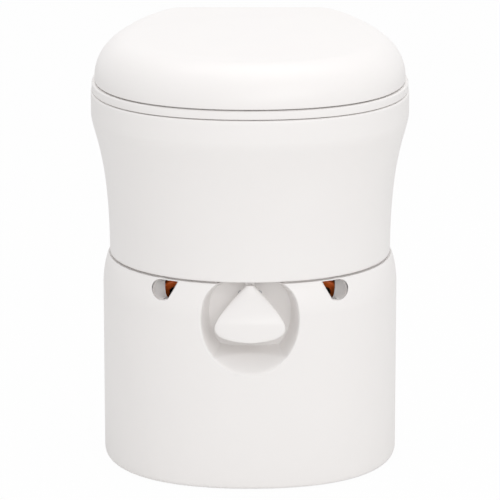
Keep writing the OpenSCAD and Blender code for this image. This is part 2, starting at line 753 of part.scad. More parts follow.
// ---- seat ----
seat_bump = [[rim_w / 2 - 35, -60], [rim_w / 2 - 57, back_y - 53]];
stem_r = 2;
stem_h = 4;
module bump_places(z) {
    both_sides() for (p = seat_bump) translate([p.x, p.y, z]) children();
}

module seat_ring() {
    color(white) difference() {
        union() {
            band([
                ring(inset(rim_o, 1.6), z_seat), ring(inset(rim_o, 1), z_seat + 1),
                ring(inset(rim_o, 1), z_seat_top - 2), ring(inset(rim_o, 3), z_seat_top),
                ring(inset(hole_o, -16), z_seat_top), ring(inset(hole_o, -5), z_seat_top - 1.2),
                ring(inset(hole_o, 0), z_seat_top - 4.5), ring(inset(hole_o, 0), z_seat + 1.5),
                ring(inset(hole_o, -2), z_seat)]);
            both_sides() {
                block([hinge_x - ear_a - arm_gap - seat_arm, back_y - 12, z_seat],
                      [hinge_x - ear_a - arm_gap, hinge_y, z_seat_top - 0.5]);
                x_rod(barrel_r, hinge_x - ear_a - arm_gap - seat_arm, hinge_x - ear_a - arm_gap, hinge_y, hinge_z);
            }
        }
        both_sides() x_rod(pin_r + pin_fit, hinge_x - 30, hinge_x, hinge_y, hinge_z);
        bump_places(z_seat - over) cylinder(r = stem_r + fit, h = stem_h + over);
    }
}

module seat_bumpers() {
    color(grey) bump_places(z_rim) {
        cylinder(r = 6, h = seat_gap);
        cylinder(r = stem_r, h = seat_gap + stem_h - 0.2);
    }
}

// ---- lid ----
edge_h = 2.7;               // upright part of the lid's edge
panel_z = z_lid + 1;
panel_t = 2.5;
lid_screw = [[hole_a - 7, hole_front + 38], [hole_a - 13, hole_back - 4]];
lid_screw_r = 2;
lid_bump = [[rim_w / 2 - 29, -50], [rim_w / 2 - 59, back_y - 48]];
dome_steps = 4;
dome_in = 122;              // inset of the smallest ring on the lid's top

function lid_ring(q, w) =
    ring(inset(lid_o, w + lid_round * (1 - cos(q))), z_lid + edge_h + (lid_h - edge_h - w) * sin(q));
function top_ring(j, w) = ring(inset(lid_o, mix(lid_round + w, dome_in, j / dome_steps)),
    z_lid + lid_h - w + lid_dome * smooth(j / dome_steps));

module lid_screw_places(z) {
    both_sides() for (p = lid_screw) translate([p.x, p.y, z]) children();
}

module lid_shell() {
    arm = hinge_x + ear_a + arm_gap;
    color(white) difference() {
        union() {
            loft(concat(
                [for (j = [dome_steps:-1:1]) top_ring(j, lid_wall)],
                [for (q = [90:-15:0]) lid_ring(q, lid_wall)],
                [ring(inset(lid_o, lid_wall), z_lid), ring(inset(lid_o, 0.8), z_lid), ring(lid_o, z_lid + 1)],
                [for (q = [0:15:90]) lid_ring(q, 0)],
                [for (j = [1:dome_steps]) top_ring(j, 0)]));
            both_sides() {
                block([arm, back_y - lid_wall + 0.5, z_lid + 1.5], [arm + lid_arm, hinge_y, z_lid + arm_h]);
                block([arm, back_y + 0.4, hinge_z], [arm + lid_arm, hinge_y, z_lid + arm_h]);
                x_rod(barrel_r, arm, arm + lid_arm, hinge_y, hinge_z);
            }
            lid_screw_places(panel_z + panel_t) cylinder(r = 4.5, h = lid_h - lid_wall - panel_t);
        }
        both_sides() x_rod(pin_r + pin_fit, hinge_x, hinge_x + 30, hinge_y, hinge_z);
        lid_screw_places(panel_z) cylinder(r = lid_screw_r + fit, h = 14);
    }
}

module lid_panel() {
    o = inset(lid_o, lid_wall + clear_fit);
    color(white) difference() {
        loft([ring(o, panel_z), ring(o, panel_z + panel_t)]);
        lid_screw_places(panel_z - over) cylinder(r = lid_screw_r + fit, h = panel_t + 2 * over);
    }
}

module lid_screws() {
    color(steel) lid_screw_places(panel_z) screw(lid_screw_r, 12, 1.5);
}

module lid_seal() {
    a = inset(hole_o, -12);
    b = inset(hole_o, -6);
    low = z_seat_top + clear_fit;
    color(grey) band([ring(a, low), ring(a, panel_z), ring(b, panel_z), ring(b, low)]);
}

module lid_bumpers() {
    color(grey) both_sides() for (p = lid_bump)
        translate([p.x, p.y, z_seat_top]) cylinder(r = 5, h = panel_z - z_seat_top);
}

base_shell();
rubber_feet();
base_gasket();
catch_plate();
catch_screws();
solids_bucket();
bag_ring();
urine_canister();
canister_handle();
handle_screws();
neck_grommet();
pour_cap();
cap_seal();
upper_housing();
separator_bowl();
separator_seal();
drain_spout();
hinge_brackets();
hinge_pins();
hinge_caps();
hinge_screws();
latch_bracket();
latch_pin();
latch_spring();
latch_screws();
latch_tongue();
seat_ring();
seat_bumpers();
lid_shell();
lid_panel();
lid_screws();
lid_seal();
lid_bumpers();
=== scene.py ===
# %% [markdown]
# # A composting toilet, dressed over its frame
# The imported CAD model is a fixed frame: it says where every piece is and how it moves. Its forms are
# coarse, so this script puts a smooth skin with a real finish over each of them. Only the small
# catch plate, which is a plain block, is shown as it is. Nothing here changes a size.

# %% Load the frame
import json
import math
import bpy
import bmesh
import numpy as np
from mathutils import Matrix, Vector


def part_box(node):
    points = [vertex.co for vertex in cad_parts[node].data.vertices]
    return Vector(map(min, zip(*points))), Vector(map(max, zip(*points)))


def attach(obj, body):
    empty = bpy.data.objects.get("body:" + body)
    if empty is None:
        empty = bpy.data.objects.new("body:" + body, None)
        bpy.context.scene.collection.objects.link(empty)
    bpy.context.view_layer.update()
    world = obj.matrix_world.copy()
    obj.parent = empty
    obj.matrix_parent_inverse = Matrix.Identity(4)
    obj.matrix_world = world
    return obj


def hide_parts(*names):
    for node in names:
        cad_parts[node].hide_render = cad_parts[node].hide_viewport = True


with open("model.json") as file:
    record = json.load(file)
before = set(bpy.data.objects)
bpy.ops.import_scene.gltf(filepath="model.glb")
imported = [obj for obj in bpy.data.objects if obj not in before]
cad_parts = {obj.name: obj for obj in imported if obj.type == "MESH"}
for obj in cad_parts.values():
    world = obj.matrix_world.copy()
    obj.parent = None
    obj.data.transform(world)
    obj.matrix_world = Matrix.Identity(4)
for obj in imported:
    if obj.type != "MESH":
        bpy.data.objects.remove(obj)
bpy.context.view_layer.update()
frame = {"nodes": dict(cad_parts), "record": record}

# %% [markdown]
# ## The camera
# The photograph looks down on the toilet by about 14 degrees with a long lens, so upright edges
# stay almost parallel. The lens and the distance were fitted to the outline of rim, seam and foot.
# A turn of the camera, not a shift of its lens, puts the object where the photograph has it.

# %% Camera
def shown(name, data):
    """A new object of the scene that holds a mesh, a lamp or a camera."""
    made = bpy.data.objects.new(name, data)
    bpy.context.scene.collection.objects.link(made)
    return made


PHOTO_SIDE = 500  # the photograph is 500 x 500 pixels
LENS_IN_PIXELS = 3578
LOOK_DOWN = math.radians(13.87)
DISTANCE = 4.0
MIDDLE = Vector((0, -0.007, 0.230))
AIM_DROP = 0.005  # the camera looks this much below the middle, in metres

camera = shown("camera", bpy.data.cameras.new("camera"))
camera.data.sensor_width = 36
camera.data.lens = LENS_IN_PIXELS / PHOTO_SIDE * camera.data.sensor_width
camera.location = MIDDLE + DISTANCE * Vector((0, -math.cos(LOOK_DOWN), math.sin(LOOK_DOWN)))
aim = MIDDLE - Vector((0, 0, AIM_DROP))
camera.rotation_euler = (aim - camera.location).to_track_quat("-Z", "Y").to_euler()
bpy.context.scene.camera = camera
bpy.context.scene.view_settings.view_transform = "Standard"
print("camera lens", round(camera.data.lens, 1), "mm")

# %% [markdown]
# ## Light and floor
# A white product on white needs a light that models it without burning it out. Most of it is a
# pale world, as in a tent of white cloth. A large softbox at the front, to the right, gives the form,
# a small one near the lens reaches into the pocket and the finger holes, and one above lights the lid.
# The floor is white to the camera, but it is mixed with a real diffuse floor, so that the object
# keeps a soft shadow under it.

# %% Colour and node helpers
def linear(hexcode, alpha=1.0):
    """An sRGB hex colour as the linear values that Blender's sockets take."""
    values = [int(hexcode[i:i + 2], 16) / 255 for i in (0, 2, 4)]
    return [v / 12.92 if v <= 0.04045 else ((v + 0.055) / 1.055) ** 2.4 for v in values] + [alpha]


def add_node(tree, kind, settings=None, **sockets):
    """One node, with its settings, and each socket set to a value or linked from another node."""
    made = tree.nodes.new(kind)
    for name, value in (settings or {}).items():
        setattr(made, name, value)
    for name, value in sockets.items():
        key = int(name[1:]) if name[0] == "_" else name.replace("_", " ")
        if isinstance(value, bpy.types.NodeSocket):
            tree.links.new(value, made.inputs[key])
        else:
            made.inputs[key].default_value = value
    return made


def empty_tree(owner):
    owner.use_nodes = True
    owner.node_tree.nodes.clear()
    return owner.node_tree


print("helpers ready; mid grey is", round(linear("808080")[0], 3), "in linear light")

# %% World
world = bpy.data.worlds.new("studio")
bpy.context.scene.world = world
tree = empty_tree(world)
path = add_node(tree, "ShaderNodeLightPath")
seen = path.outputs["Is Camera Ray"]
for ray in ("Is Glossy Ray", "Is Transmission Ray"):
    either = add_node(tree, "ShaderNodeMath", {"operation": "MAXIMUM"}, _0=seen, _1=path.outputs[ray])
    seen = either.outputs[0]
ambient = add_node(tree, "ShaderNodeBackground", Color=linear("f6f6f7"), Strength=0.80)
white = add_node(tree, "ShaderNodeBackground", Color=(1, 1, 1, 1), Strength=1.0)
mixed = add_node(tree, "ShaderNodeMixShader", _0=seen, _1=ambient.outputs[0], _2=white.outputs[0])
add_node(tree, "ShaderNodeOutputWorld", Surface=mixed.outputs[0])
print("world: white to the camera, a pale fill to the object")

# %% Softboxes
LIT_POINT = Vector((0, 0, 0.24))


def softbox(name, place, side, watts):
    """A square area lamp, its place and side in metres, turned towards the object's middle."""
    lamp = bpy.data.lights.new(name, "AREA")
    lamp.shape = "RECTANGLE"
    lamp.size = lamp.size_y = side
    lamp.energy = watts
    holder = shown(name, lamp)
    holder.location = place
    holder.rotation_euler = (LIT_POINT - holder.location).to_track_quat("-Z", "Y").to_euler()


softbox("softbox_key", place=(1.3, -2.8, 1.6), side=1.3, watts=12)
softbox("softbox_front", place=(0.20, -3.0, 1.05), side=0.7, watts=6)
softbox("softbox_top", place=(0.1, 0.1, 2.4), side=1.8, watts=11)

# %% Floor
FLOOR_HALF, FLOOR_DROP = 6.0, 0.0003  # metres; the drop keeps the paper clear of the rubber feet
WHITE_SHARE = 0.97  # the part of the paper that is pure white to the camera

floor_mesh = bpy.data.meshes.new("floor")
floor_corners = [(x * FLOOR_HALF, y * FLOOR_HALF, 0) for x, y in ((-1, -1), (1, -1), (1, 1), (-1, 1))]
floor_mesh.from_pydata(floor_corners, [], [(0, 1, 2, 3)])
floor = shown("floor", floor_mesh)
floor.location.z = -FLOOR_DROP
paper = bpy.data.materials.new("white_paper_sweep")
tree = empty_tree(paper)
path = add_node(tree, "ShaderNodeLightPath")
matte = add_node(tree, "ShaderNodeBsdfDiffuse", Color=linear("ececeb"))
glow = add_node(tree, "ShaderNodeEmission", Color=(1, 1, 1, 1), Strength=1.0)
share = add_node(tree, "ShaderNodeMath", {"operation": "MULTIPLY"},
                 _0=path.outputs["Is Camera Ray"], _1=WHITE_SHARE)
mixed = add_node(tree, "ShaderNodeMixShader", _0=share.outputs[0], _1=matte.outputs[0], _2=glow.outputs[0])
add_node(tree, "ShaderNodeOutputMaterial", Surface=mixed.outputs[0])
floor_mesh.materials.append(paper)
print("floor: paper that is white to the camera and still takes a shadow")

# %% [markdown]
# ## Finishes
# Everything that shows on the outside is one plastic: polypropylene, injection moulded in white.
# Moulding leaves a satin skin with a faint spark-eroded grain and, over a hand's width, a slight
# unevenness of gloss where the wall cooled at different speeds. Noise nodes in real millimetres
# draw both, because the forms have no seams or texture coordinates to follow.

# %% Noise in millimetres
def millimetres(tree, size):
    """A noise pattern whose grains are `size` millimetres across."""
    place = add_node(tree, "ShaderNodeTexCoord")
    return add_node(tree, "ShaderNodeTexNoise", {"noise_dimensions": "3D"},
                    Vector=place.outputs["Object"], Scale=1000 / size, Detail=2.0)


def between(tree, factor, low, high):
    """Turns a 0 to 1 pattern into one from low to high."""
    return add_node(tree, "ShaderNodeMapRange", _0=factor, _3=low, _4=high).outputs[0]


print("noise helpers ready")

# %% Plastics
PATCH_MM, GLOSS_MM = 70, 25  # sizes of the patches of shade and of gloss


def moulded_plastic(name, colour, shade, roughness, grain_mm, grain_depth_mm, ior=1.49):
    """Moulded plastic: colour with a slightly darker shade in patches, uneven gloss, fine grain."""
    material = bpy.data.materials.new(name)
    tree = empty_tree(material)
    tone = add_node(tree, "ShaderNodeMix", {"data_type": "RGBA"}, _0=millimetres(tree, PATCH_MM).outputs[0],
                    _6=linear(colour), _7=linear(shade))
    gloss = between(tree, millimetres(tree, GLOSS_MM).outputs[0], roughness - 0.05, roughness + 0.05)
    grain = add_node(tree, "ShaderNodeBump", Height=millimetres(tree, grain_mm).outputs[0],
                     Strength=0.35, Distance=grain_depth_mm / 1000)
    skin = add_node(tree, "ShaderNodeBsdfPrincipled", Base_Color=tone.outputs[2], Roughness=gloss,
                    IOR=ior, Normal=grain.outputs[0])
    add_node(tree, "ShaderNodeOutputMaterial", Surface=skin.outputs[0])
    return material


# Satin spark-eroded grain is about 0.1 mm: far below a pixel, so it is drawn 1.6 mm wide and flat.
white_polypropylene = moulded_plastic("white_polypropylene_injection_moulded",
                                      "f9f6f4", "f7f4f2", 0.40, 1.6, 0.03)
orange_polypropylene = moulded_plastic("orange_polypropylene_injection_moulded",
                                       "ff7b36", "fb7430", 0.36, 1.6, 0.03)
# Natural polyethylene is waxier and a little yellower, and blow moulding leaves it rippled.
tub_polyethylene = moulded_plastic("natural_polyethylene_blow_moulded",
                                   "e9e8e3", "e3e2dc", 0.48, 3.0, 0.10, ior=1.51)
# Rubber is dull because its surface takes up the grit-blasted face of its mould.
grey_rubber = moulded_plastic("grey_rubber_press_moulded", "55565a", "4c4d51", 0.72, 1.2, 0.08, ior=1.52)
print("plastics and rubber:", [m.name for m in bpy.data.materials if "moulded" in m.name])

# %% [markdown]
# ## Steel
# The hinge's pins and caps, all screws and the latch's bracket, pin and spring are stainless steel,
# drawn or stamped. What the eye reads as brushed is many fine scratches along one direction, so the
# noise is stretched fifty to one.

# %% Steel
stainless_steel = bpy.data.materials.new("stainless_steel_brushed")
tree = empty_tree(stainless_steel)
place = add_node(tree, "ShaderNodeTexCoord")
along = add_node(tree, "ShaderNodeMapping", Vector=place.outputs["Object"], Scale=(20, 1000, 1000))
scratches = add_node(tree, "ShaderNodeTexNoise", Vector=along.outputs[0], Scale=2.0, Detail=3.0)
scratch_gloss = between(tree, scratches.outputs[0], 0.24, 0.40)
scratch_bump = add_node(tree, "ShaderNodeBump", Height=scratches.outputs[0], Strength=0.2, Distance=0.00002)
steel_skin = add_node(tree, "ShaderNodeBsdfPrincipled", Base_Color=linear("c3c5c8"), Metallic=1.0,
                      Roughness=scratch_gloss, Normal=scratch_bump.outputs[0])
add_node(tree, "ShaderNodeOutputMaterial", Surface=steel_skin.outputs[0])
print("steel: scratches 50 mm long and 1 mm wide")

# %% The finish and the body of each node
finish_of_slot = {"white_plastic": white_polypropylene, "tub_plastic": tub_polyethylene,
                  "orange_plastic": orange_polypropylene, "grey_rubber": grey_rubber,
                  "steel": stainless_steel}
slot_of_node = {part["node"]: part["material_slot"] for part in frame["record"]["subparts"]}
groups = frame["record"]["behaviour"]["bodies"]
body_of_node = {node: body for body, nodes in groups.items() for node in nodes}
for node, slot_name in slot_of_node.items():
    for slot in frame["nodes"][node].material_slots:
        slot.material = finish_of_slot[slot_name]
print("finishes given to", len(slot_of_node), "nodes")

# %% [markdown]
# ## Outlines in plan
# Seen from above, every shell of the toilet is the same kind of shape: a long curve round the
# front, a short one round each back corner, and a flat back. A designer draws it with Bezier
# curves, so the skins here do too, with the same numbers as the frame and many more points.
# All of the numbers are millimetres, and they become metres when a mesh is made.

# %% Plan curves
PLAN_STEPS = (44, 26, 5)  # points along the front curve, the back curve and the flat back
FLAT_SHARE = 0.35  # how fast the flat back shortens as an outline is inset


def bezier(a, b, c, d, t):
    t = np.asarray(t, float)[:, None]
    a, b, c, d = (np.asarray(p, float) for p in (a, b, c, d))
    return (1 - t) ** 3 * a + 3 * (1 - t) ** 2 * t * b + 3 * (1 - t) * t ** 2 * c + t ** 3 * d


def front_quarter(plan, t):
    half, front, middle, front_pull, side_pull = *plan[:3], *plan[5:7]
    return bezier((0, front), (front_pull * half, front), (half, middle - side_pull * (middle - front)),
                  (half, middle), t)


def back_quarter(plan, t):
    half, middle, flat, back, corner_pull, side_pull = plan[0], *plan[2:5], *plan[7:9]
    return bezier((half, middle), (half, middle + side_pull * (back - middle)),
                  (flat + corner_pull * (half - flat), back), (flat, back), t)


def round_trip(plan, front, back_steps):
    """An outline from the points of its right front: the curve behind, the flat back, the left side."""
    flat = PLAN_STEPS[2]
    right = np.vstack([front, back_quarter(plan, np.linspace(0, 1, back_steps + 1)[1:]),
                       [(plan[3] * (1 - i / flat), plan[4]) for i in range(1, flat + 1)]])
    return np.vstack([right, right[-2:0:-1] * (-1, 1)])


def loop(plan, front_steps=PLAN_STEPS[0]):
    """The whole outline, anticlockwise seen from above, from the middle of the front."""
    return round_trip(plan, front_quarter(plan, np.linspace(0, 1, front_steps + 1)), PLAN_STEPS[1])


def inset(plan, d):
    return [plan[0] - d, plan[1] + d, plan[2], plan[3] - FLAT_SHARE * d, plan[4] - d] + list(plan[5:])


def blend_plans(a, b, t):
    return [p + (q - p) * t for p, q in zip(a, b)]


# Half the width, the y of the front and of the widest place, half the flat back and its y, then the
# reach of the curves' handles: at the front, on the side before, at the back, on the side behind.
rim_plan = [175, -207, -26, 93, 193, 0.615, 0.637, 0.303, 0.416]
lid_plan = [170.8, -207, -26, 91.32, 193, 0.615, 0.637, 0.303, 0.416]
seam_plan = [155.7, -177, -22, 83, 171, 0.58, 0.60, 0.42, 0.44]
side_plan = [163.5, -188, -15, 87, 180, 0.63, 0.64, 0.42, 0.44]
foot_plan = [163.5, -186, -15, 87, 179, 0.63, 0.64, 0.42, 0.44]
hole_plan = [105, -150, -20, 30, 116, 0.58, 0.60, 0.45, 0.56]
chute_plan = [84, -24, 45, 34, 112, 0.58, 0.60, 0.48, 0.56]
print("outline of the rim:", len(loop(rim_plan)), "points")

# %% Heights, from the frame's own boxes
def node_mm(name):
    """A node's lowest and highest corner in millimetres."""
    low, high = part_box(name)
    return np.array(low) * 1000, np.array(high) * 1000


SEAT_GAP, SEAT_THICK, LID_GAP = 1.0, 9.5, 1.5
FLOOR_TOP = 6.0  # the upper face of the base's floor
seam_z = node_mm("base_shell")[1][2]
housing_low, rim_z = node_mm("upper_housing")[0][2], node_mm("upper_housing")[1][2]
seat_low = rim_z + SEAT_GAP
seat_high = seat_low + SEAT_THICK
lid_low = seat_high + LID_GAP
print("seam", round(seam_z, 1), "rim", round(rim_z, 1), "lid from", round(lid_low, 1))

# %% [markdown]
# ## From rings to a skin
# A moulded shell is lofted: rings of points, one above the other, joined by quads. The list runs
# up the outside, over the edge and down the inside, so wall and edge rounding are in one closed
# form. Faces are smooth, and only corners that turn by more than a given angle stay as edges.

# %% Loft helper
def at_height(points, z):
    return np.column_stack([points, np.full(len(points), float(z))])


def ring(plan, z):
    return at_height(loop(plan), z)


def rings_of(plan, section, level=0.0):
    """A ring for each (inset, height) of a section, its heights counted from a level."""
    return [ring(inset(plan, d), level + z) for d, z in section]


def loose(name, part):
    """An object from a part, which is its points in millimetres and its faces."""
    points, faces = part
    mesh = bpy.data.meshes.new(name)
    mesh.from_pydata((points / 1000).tolist(), [], faces)
    return shown(name, mesh)


quarter = [math.radians(a) for a in range(0, 91, 5)]


def rounded(wide, high, step=3):
    """(inset, height) along a quarter round that starts level and ends upright."""
    return [(wide * (1 - math.sin(a)), high * (1 - math.cos(a))) for a in quarter[::step]]


def make_piece(name, part, node, sharp=32):
    """A part as a finished piece, riding on its body, that stands for a node of the frame."""
    piece = loose(name, part)
    mesh = piece.data
    mesh.validate()
    mesh.materials.append(finish_of_slot[slot_of_node[node]])
    mesh.shade_smooth()
    mesh.set_sharp_from_angle(angle=math.radians(sharp))
    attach(piece, body_of_node[node])
    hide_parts(node)
    print(name, "of", len(mesh.polygons), "faces rides on", body_of_node[node])


def loft_faces(rings, count, closed):
    """Quads between rings of `count` points; the ends are capped, or the last ring joins the first."""
    faces = []
    for k in range(rings if closed else rings - 1):
        a, b = k * count, (k + 1) % rings * count
        faces += [(a + i, a + (i + 1) % count, b + (i + 1) % count, b + i) for i in range(count)]
    if not closed:
        faces += [tuple(range(count - 1, -1, -1)), tuple((rings - 1) * count + i for i in range(count))]
    return faces


print("loft helper ready for", len(body_of_node), "nodes")

# %% [markdown]
# ## Ears, arms and blocks
# Small moulded features, such as a hinge arm, are a flat outline pushed sideways. A real mould
# leaves no knife edge on them, so the rims of both ends and the sharp corners get a small bevel.

# %% Pushed outlines
BEVEL_ABOVE = math.radians(30)  # flatter edges than this are part of a curve


def pushed(outline, start, end, axis, rounding=0.6):
    """Points and faces of an outline (two coordinates) pushed along x, y or z, with rounded edges."""
    def put(u, v, w):
        return {"x": (w, u, v), "y": (u, w, v), "z": (u, v, w)}[axis]
    form = bmesh.new()
    near = [form.verts.new(put(u, v, start)) for u, v in outline]
    far = [form.verts.new(put(u, v, end)) for u, v in outline]
    form.faces.new(near)
    form.faces.new(far[::-1])
    count = len(outline)
    for i in range(count):
        form.faces.new((near[i], near[(i + 1) % count], far[(i + 1) % count], far[i]))
    bmesh.ops.recalc_face_normals(form, faces=form.faces)
    if rounding:
        rims = [e for e in form.edges if e.calc_face_angle(0) > BEVEL_ABOVE]
        bmesh.ops.bevel(form, geom=rims, offset=rounding, segments=3, profile=0.5, affect="EDGES",
                        clamp_overlap=True)
    form.verts.index_update()
    made = np.array([v.co[:] for v in form.verts]), [tuple(v.index for v in f.verts) for f in form.faces]
    form.free()
    return made


def mirrored(part):
    points, faces = part
    return points * (-1, 1, 1), [f[::-1] for f in faces]


def together(*parts):
    """Several closed forms as one list of points and one of faces."""
    points, faces, start = [], [], 0
    for p, f in parts:
        points.append(p)
        faces += [tuple(start + i for i in face) for face in f]
        start += len(p)
    return np.vstack(points), faces


def both_sides(*parts):
    return together(*parts, *map(mirrored, parts))


def loft(rings, closed=False):
    return np.vstack(rings), loft_faces(len(rings), len(rings[0]), closed)


def band(plan, section, level=0.0):
    """A solid ring: a closed section of (inset, height) carried round a plan."""
    return loft(rings_of(plan, section, level), closed=True)


def box_outline(low, high):
    return [(low[0], low[1]), (high[0], low[1]), (high[0], high[1]), (low[0], high[1])]


def arc(centre, radius, start, end, count=16):
    angles = np.radians(np.linspace(start, end, count))
    return [(centre[0] + radius * math.cos(a), centre[1] + radius * math.sin(a)) for a in angles]


HINGE_Y, EAR_X, EAR_HALF, BARREL_R, PLATE_THICK = 200.0, 72.0, 5.7, 7.0, 3.0
hinge_axis = (HINGE_Y, rim_z + 4.5)
hinge_z = hinge_axis[1]
print("hinge axis at y", HINGE_Y, "z", round(hinge_z, 1))

# %% [markdown]
# ## Holes and slots
# Where a real tool leaves a crisp edge, such as a drilled bore or a punched slot, the form is cut
# with an exact boolean. Scratch objects do the cutting and are thrown away.

# %% Cutting helpers
def cut(target, *tools, operation="DIFFERENCE"):
    """Carries out exact booleans on target, and throws the tools away."""
    for tool in tools:
        modifier = target.modifiers.new("cut", "BOOLEAN")
        modifier.operation, modifier.solver, modifier.object = operation, "EXACT", tool
        graph = bpy.context.evaluated_depsgraph_get()
        result = bpy.data.meshes.new_from_object(target.evaluated_get(graph))
        target.modifiers.clear()
        target.data = result
        bpy.data.objects.remove(tool)
    return target


def mesh_part(target):
    """Points in millimetres and faces of an object, which is thrown away."""
    points = np.array([v.co[:] for v in target.data.vertices]) * 1000
    faces = [tuple(f.vertices) for f in target.data.polygons]
    bpy.data.objects.remove(target)
    return points, faces


print("cutting helpers ready")

# %% [markdown]
# ## The lid
# The lid is one pillow-shaped moulding: an upright edge of 3 mm, a broad quarter-ellipse shoulder,
# and a top that rises a few millimetres to the middle. A box with a bevel would show a ridge where
# the bevel meets the flat. Rings whose inset follows a cosine leave the shoulder without a step.

# %% Lid
LID_ROUND, LID_EDGE, LID_HEIGHT, LID_DOME, LID_WALL = 38.0, 2.7, 45.0, 3.0, 3.0
LID_MIDDLE = 122.0  # the crown's rings end at this inset, near the middle
HINGE_BACK = 193.0  # the back of lid and housing, which the hinge stands on


def smooth_step(t):
    t = np.clip(t, 0, 1)
    return t * t * (3 - 2 * t)


def lid_side(angle, wall):
    rise = (LID_HEIGHT - LID_EDGE - wall) * math.sin(angle)
    return ring(inset(lid_plan, wall + LID_ROUND * (1 - math.cos(angle))), lid_low + LID_EDGE + rise)


def lid_crown(t, wall):
    inward = (LID_ROUND + wall) + (LID_MIDDLE - LID_ROUND - wall) * t
    return ring(inset(lid_plan, inward), lid_low + LID_HEIGHT - wall + LID_DOME * smooth_step(t))


lid_rings = [lid_crown(t, LID_WALL) for t in np.linspace(1, 0, 13)[:-1]]
lid_rings += [lid_side(a, LID_WALL) for a in quarter[::-1]]
lid_rings += rings_of(lid_plan, [(LID_WALL, 0.6), (LID_WALL - 0.5, 0)], lid_low)
lid_rings += rings_of(lid_plan, rounded(1, 1), lid_low)
lid_rings += [lid_side(a, 0) for a in quarter] + [lid_crown(t, 0) for t in np.linspace(0, 1, 13)[1:]]
lid_arm = [(HINGE_BACK - 2.5, lid_low + 1.5), (HINGE_BACK + 0.4, lid_low + 1.5)]
lid_arm += [(HINGE_BACK + 0.4, hinge_z + 2)]
lid_arm += arc(hinge_axis, BARREL_R, 164, 450)[:-1]
lid_arm += [(HINGE_Y, lid_low + 7), (HINGE_Y - 1, lid_low + 8), (HINGE_BACK - 2.5, lid_low + 8)]
lid_arm = pushed(lid_arm, EAR_X + 6, EAR_X + 16, "x")
LID_SCREWS = ((98, -112), (92, 112))
bosses = [pushed(arc(place, 4.5, 0, 345, 24), lid_low + 3.5, lid_low + 42, "z", 0) for place in LID_SCREWS]
make_piece("lid_skin", together(loft(lid_rings), both_sides(lid_arm, *bosses)), "lid_shell")

# %% [markdown]
# ## The seat
# The seat is a ring only 9.5 mm thick that stays inside the rim's outline. From the front it is
# the thin band under the lid. Its inner edge is rounded for whoever sits on it.

# %% Seat
def corner(plan, inward, z, radius, turn, up, sign=1, steps=6):
    """Rings of a quarter round: from an upright wall to a level face, or back with turn=-1."""
    angles = np.linspace(0, math.pi / 2, steps)[::turn]
    curve = [(inward + sign * radius * (1 - math.cos(a)), up * radius * math.sin(a)) for a in angles]
    return rings_of(plan, curve, z)


seat_rings = corner(rim_plan, 1, seat_low + 1, 1, -1, -1) + corner(rim_plan, 1, seat_high - 2, 2, 1, 1)
seat_rings += rings_of(hole_plan, [(-16, 0), (-10, -0.3)], seat_high)
seat_rings += rings_of(hole_plan, rounded(-5, -3.6, 2), seat_high - 1)
seat_rings += corner(hole_plan, 0, seat_low + 1.5, 1.5, 1, -1, -1)
seat_arm = [(181, seat_low)] + arc(hinge_axis, BARREL_R, 210, 450) + [(181, seat_high - 0.5)]
seat_arm = pushed(seat_arm, EAR_X - 18, EAR_X - 6, "x")
make_piece("seat_skin", together(loft(seat_rings, closed=True), both_sides(seat_arm)), "seat_ring")

# %% [markdown]
# ## The upper housing
# The housing flares from a narrow seam to a wide rim. The flare is one Bezier curve in side view,
# slow at both ends, and each ring mixes the two plan outlines by that curve. Inside it is a shell
# of even wall, with a ledge for the bowl at the top and a flange at the bottom that sits on the seam.
# A slot through the flange lets the latch's neck swing forward.

# %% Housing
FLARE_TOP, WALL, FOOT_ROUND, LAND = rim_z - 24, 4.0, 3.0, 0.8
NECK_HALF, SLOT_FRONT, SLOT_BACK = 6.5, -167.0, -152.0  # the slot for the latch's neck


def flare(u, wall=0.0):
    """A ring of the flare at a share u of its curve, from the seam up to the rim."""
    out = 3 * (1 - u) * u ** 2 + u ** 3
    up = 3 * (1 - u) ** 2 * u * 0.72 + 3 * (1 - u) * u ** 2 * 0.88 + u ** 3
    plan = inset(blend_plans(seam_plan, rim_plan, out), wall)
    return ring(plan, housing_low + (FLARE_TOP - housing_low) * up)


def slotted_plate(half, back, low, thick, slot_half=NECK_HALF):
    """A level plate behind the housing's front, with a slot for the latch's neck in its front edge."""
    front = SLOT_FRONT + 1
    edge = [(-half, front), (-slot_half, front), (-slot_half, SLOT_BACK)]
    outline = edge + [(-x, y) for x, y in edge[::-1]] + [(half, back), (-half, back)]
    return pushed(outline, low, low + thick, "z", 0.5)


ledge_plan, opening_plan = inset(hole_plan, -17.5), inset(hole_plan, -8)
housing_rings = rings_of(seam_plan, rounded(LAND, FOOT_ROUND, 2), housing_low)
housing_rings += [flare(u) for u in np.linspace(0.06, 1, 26)]
housing_rings += rings_of(rim_plan, [(0, -14), (0, -3)], rim_z)
housing_rings += corner(rim_plan, 0, rim_z - 2, 2, 1, 1)[1:]
housing_rings += rings_of(ledge_plan, [(0, 0), (0.3, -0.4), (0.3, -3.5)], rim_z)
housing_rings += rings_of(opening_plan, [(0, -3.5), (0, -7.5)], rim_z)
housing_rings += rings_of(rim_plan, [(9, -7.5), (5.5, -8.8), (WALL, -12.5)], rim_z)
housing_rings += [flare(u, WALL) for u in np.linspace(1, 0.1, 16)]
flange = [(WALL, 8), (WALL + 0.6, 6), (WALL + 2, WALL), (13, WALL), (13, 0)]
housing_rings += rings_of(seam_plan, flange, housing_low)
deck = slotted_plate(30, -140, housing_low, WALL)
neck_slot = pushed(box_outline((-NECK_HALF, SLOT_FRONT), (NECK_HALF, SLOT_BACK)),
                   housing_low - 1, housing_low + WALL + 0.5, "z", 0)
shell = mesh_part(cut(loose("shell", loft(housing_rings, closed=True)), loose("slot", neck_slot)))
make_piece("housing_skin", together(shell, deck), "upper_housing")

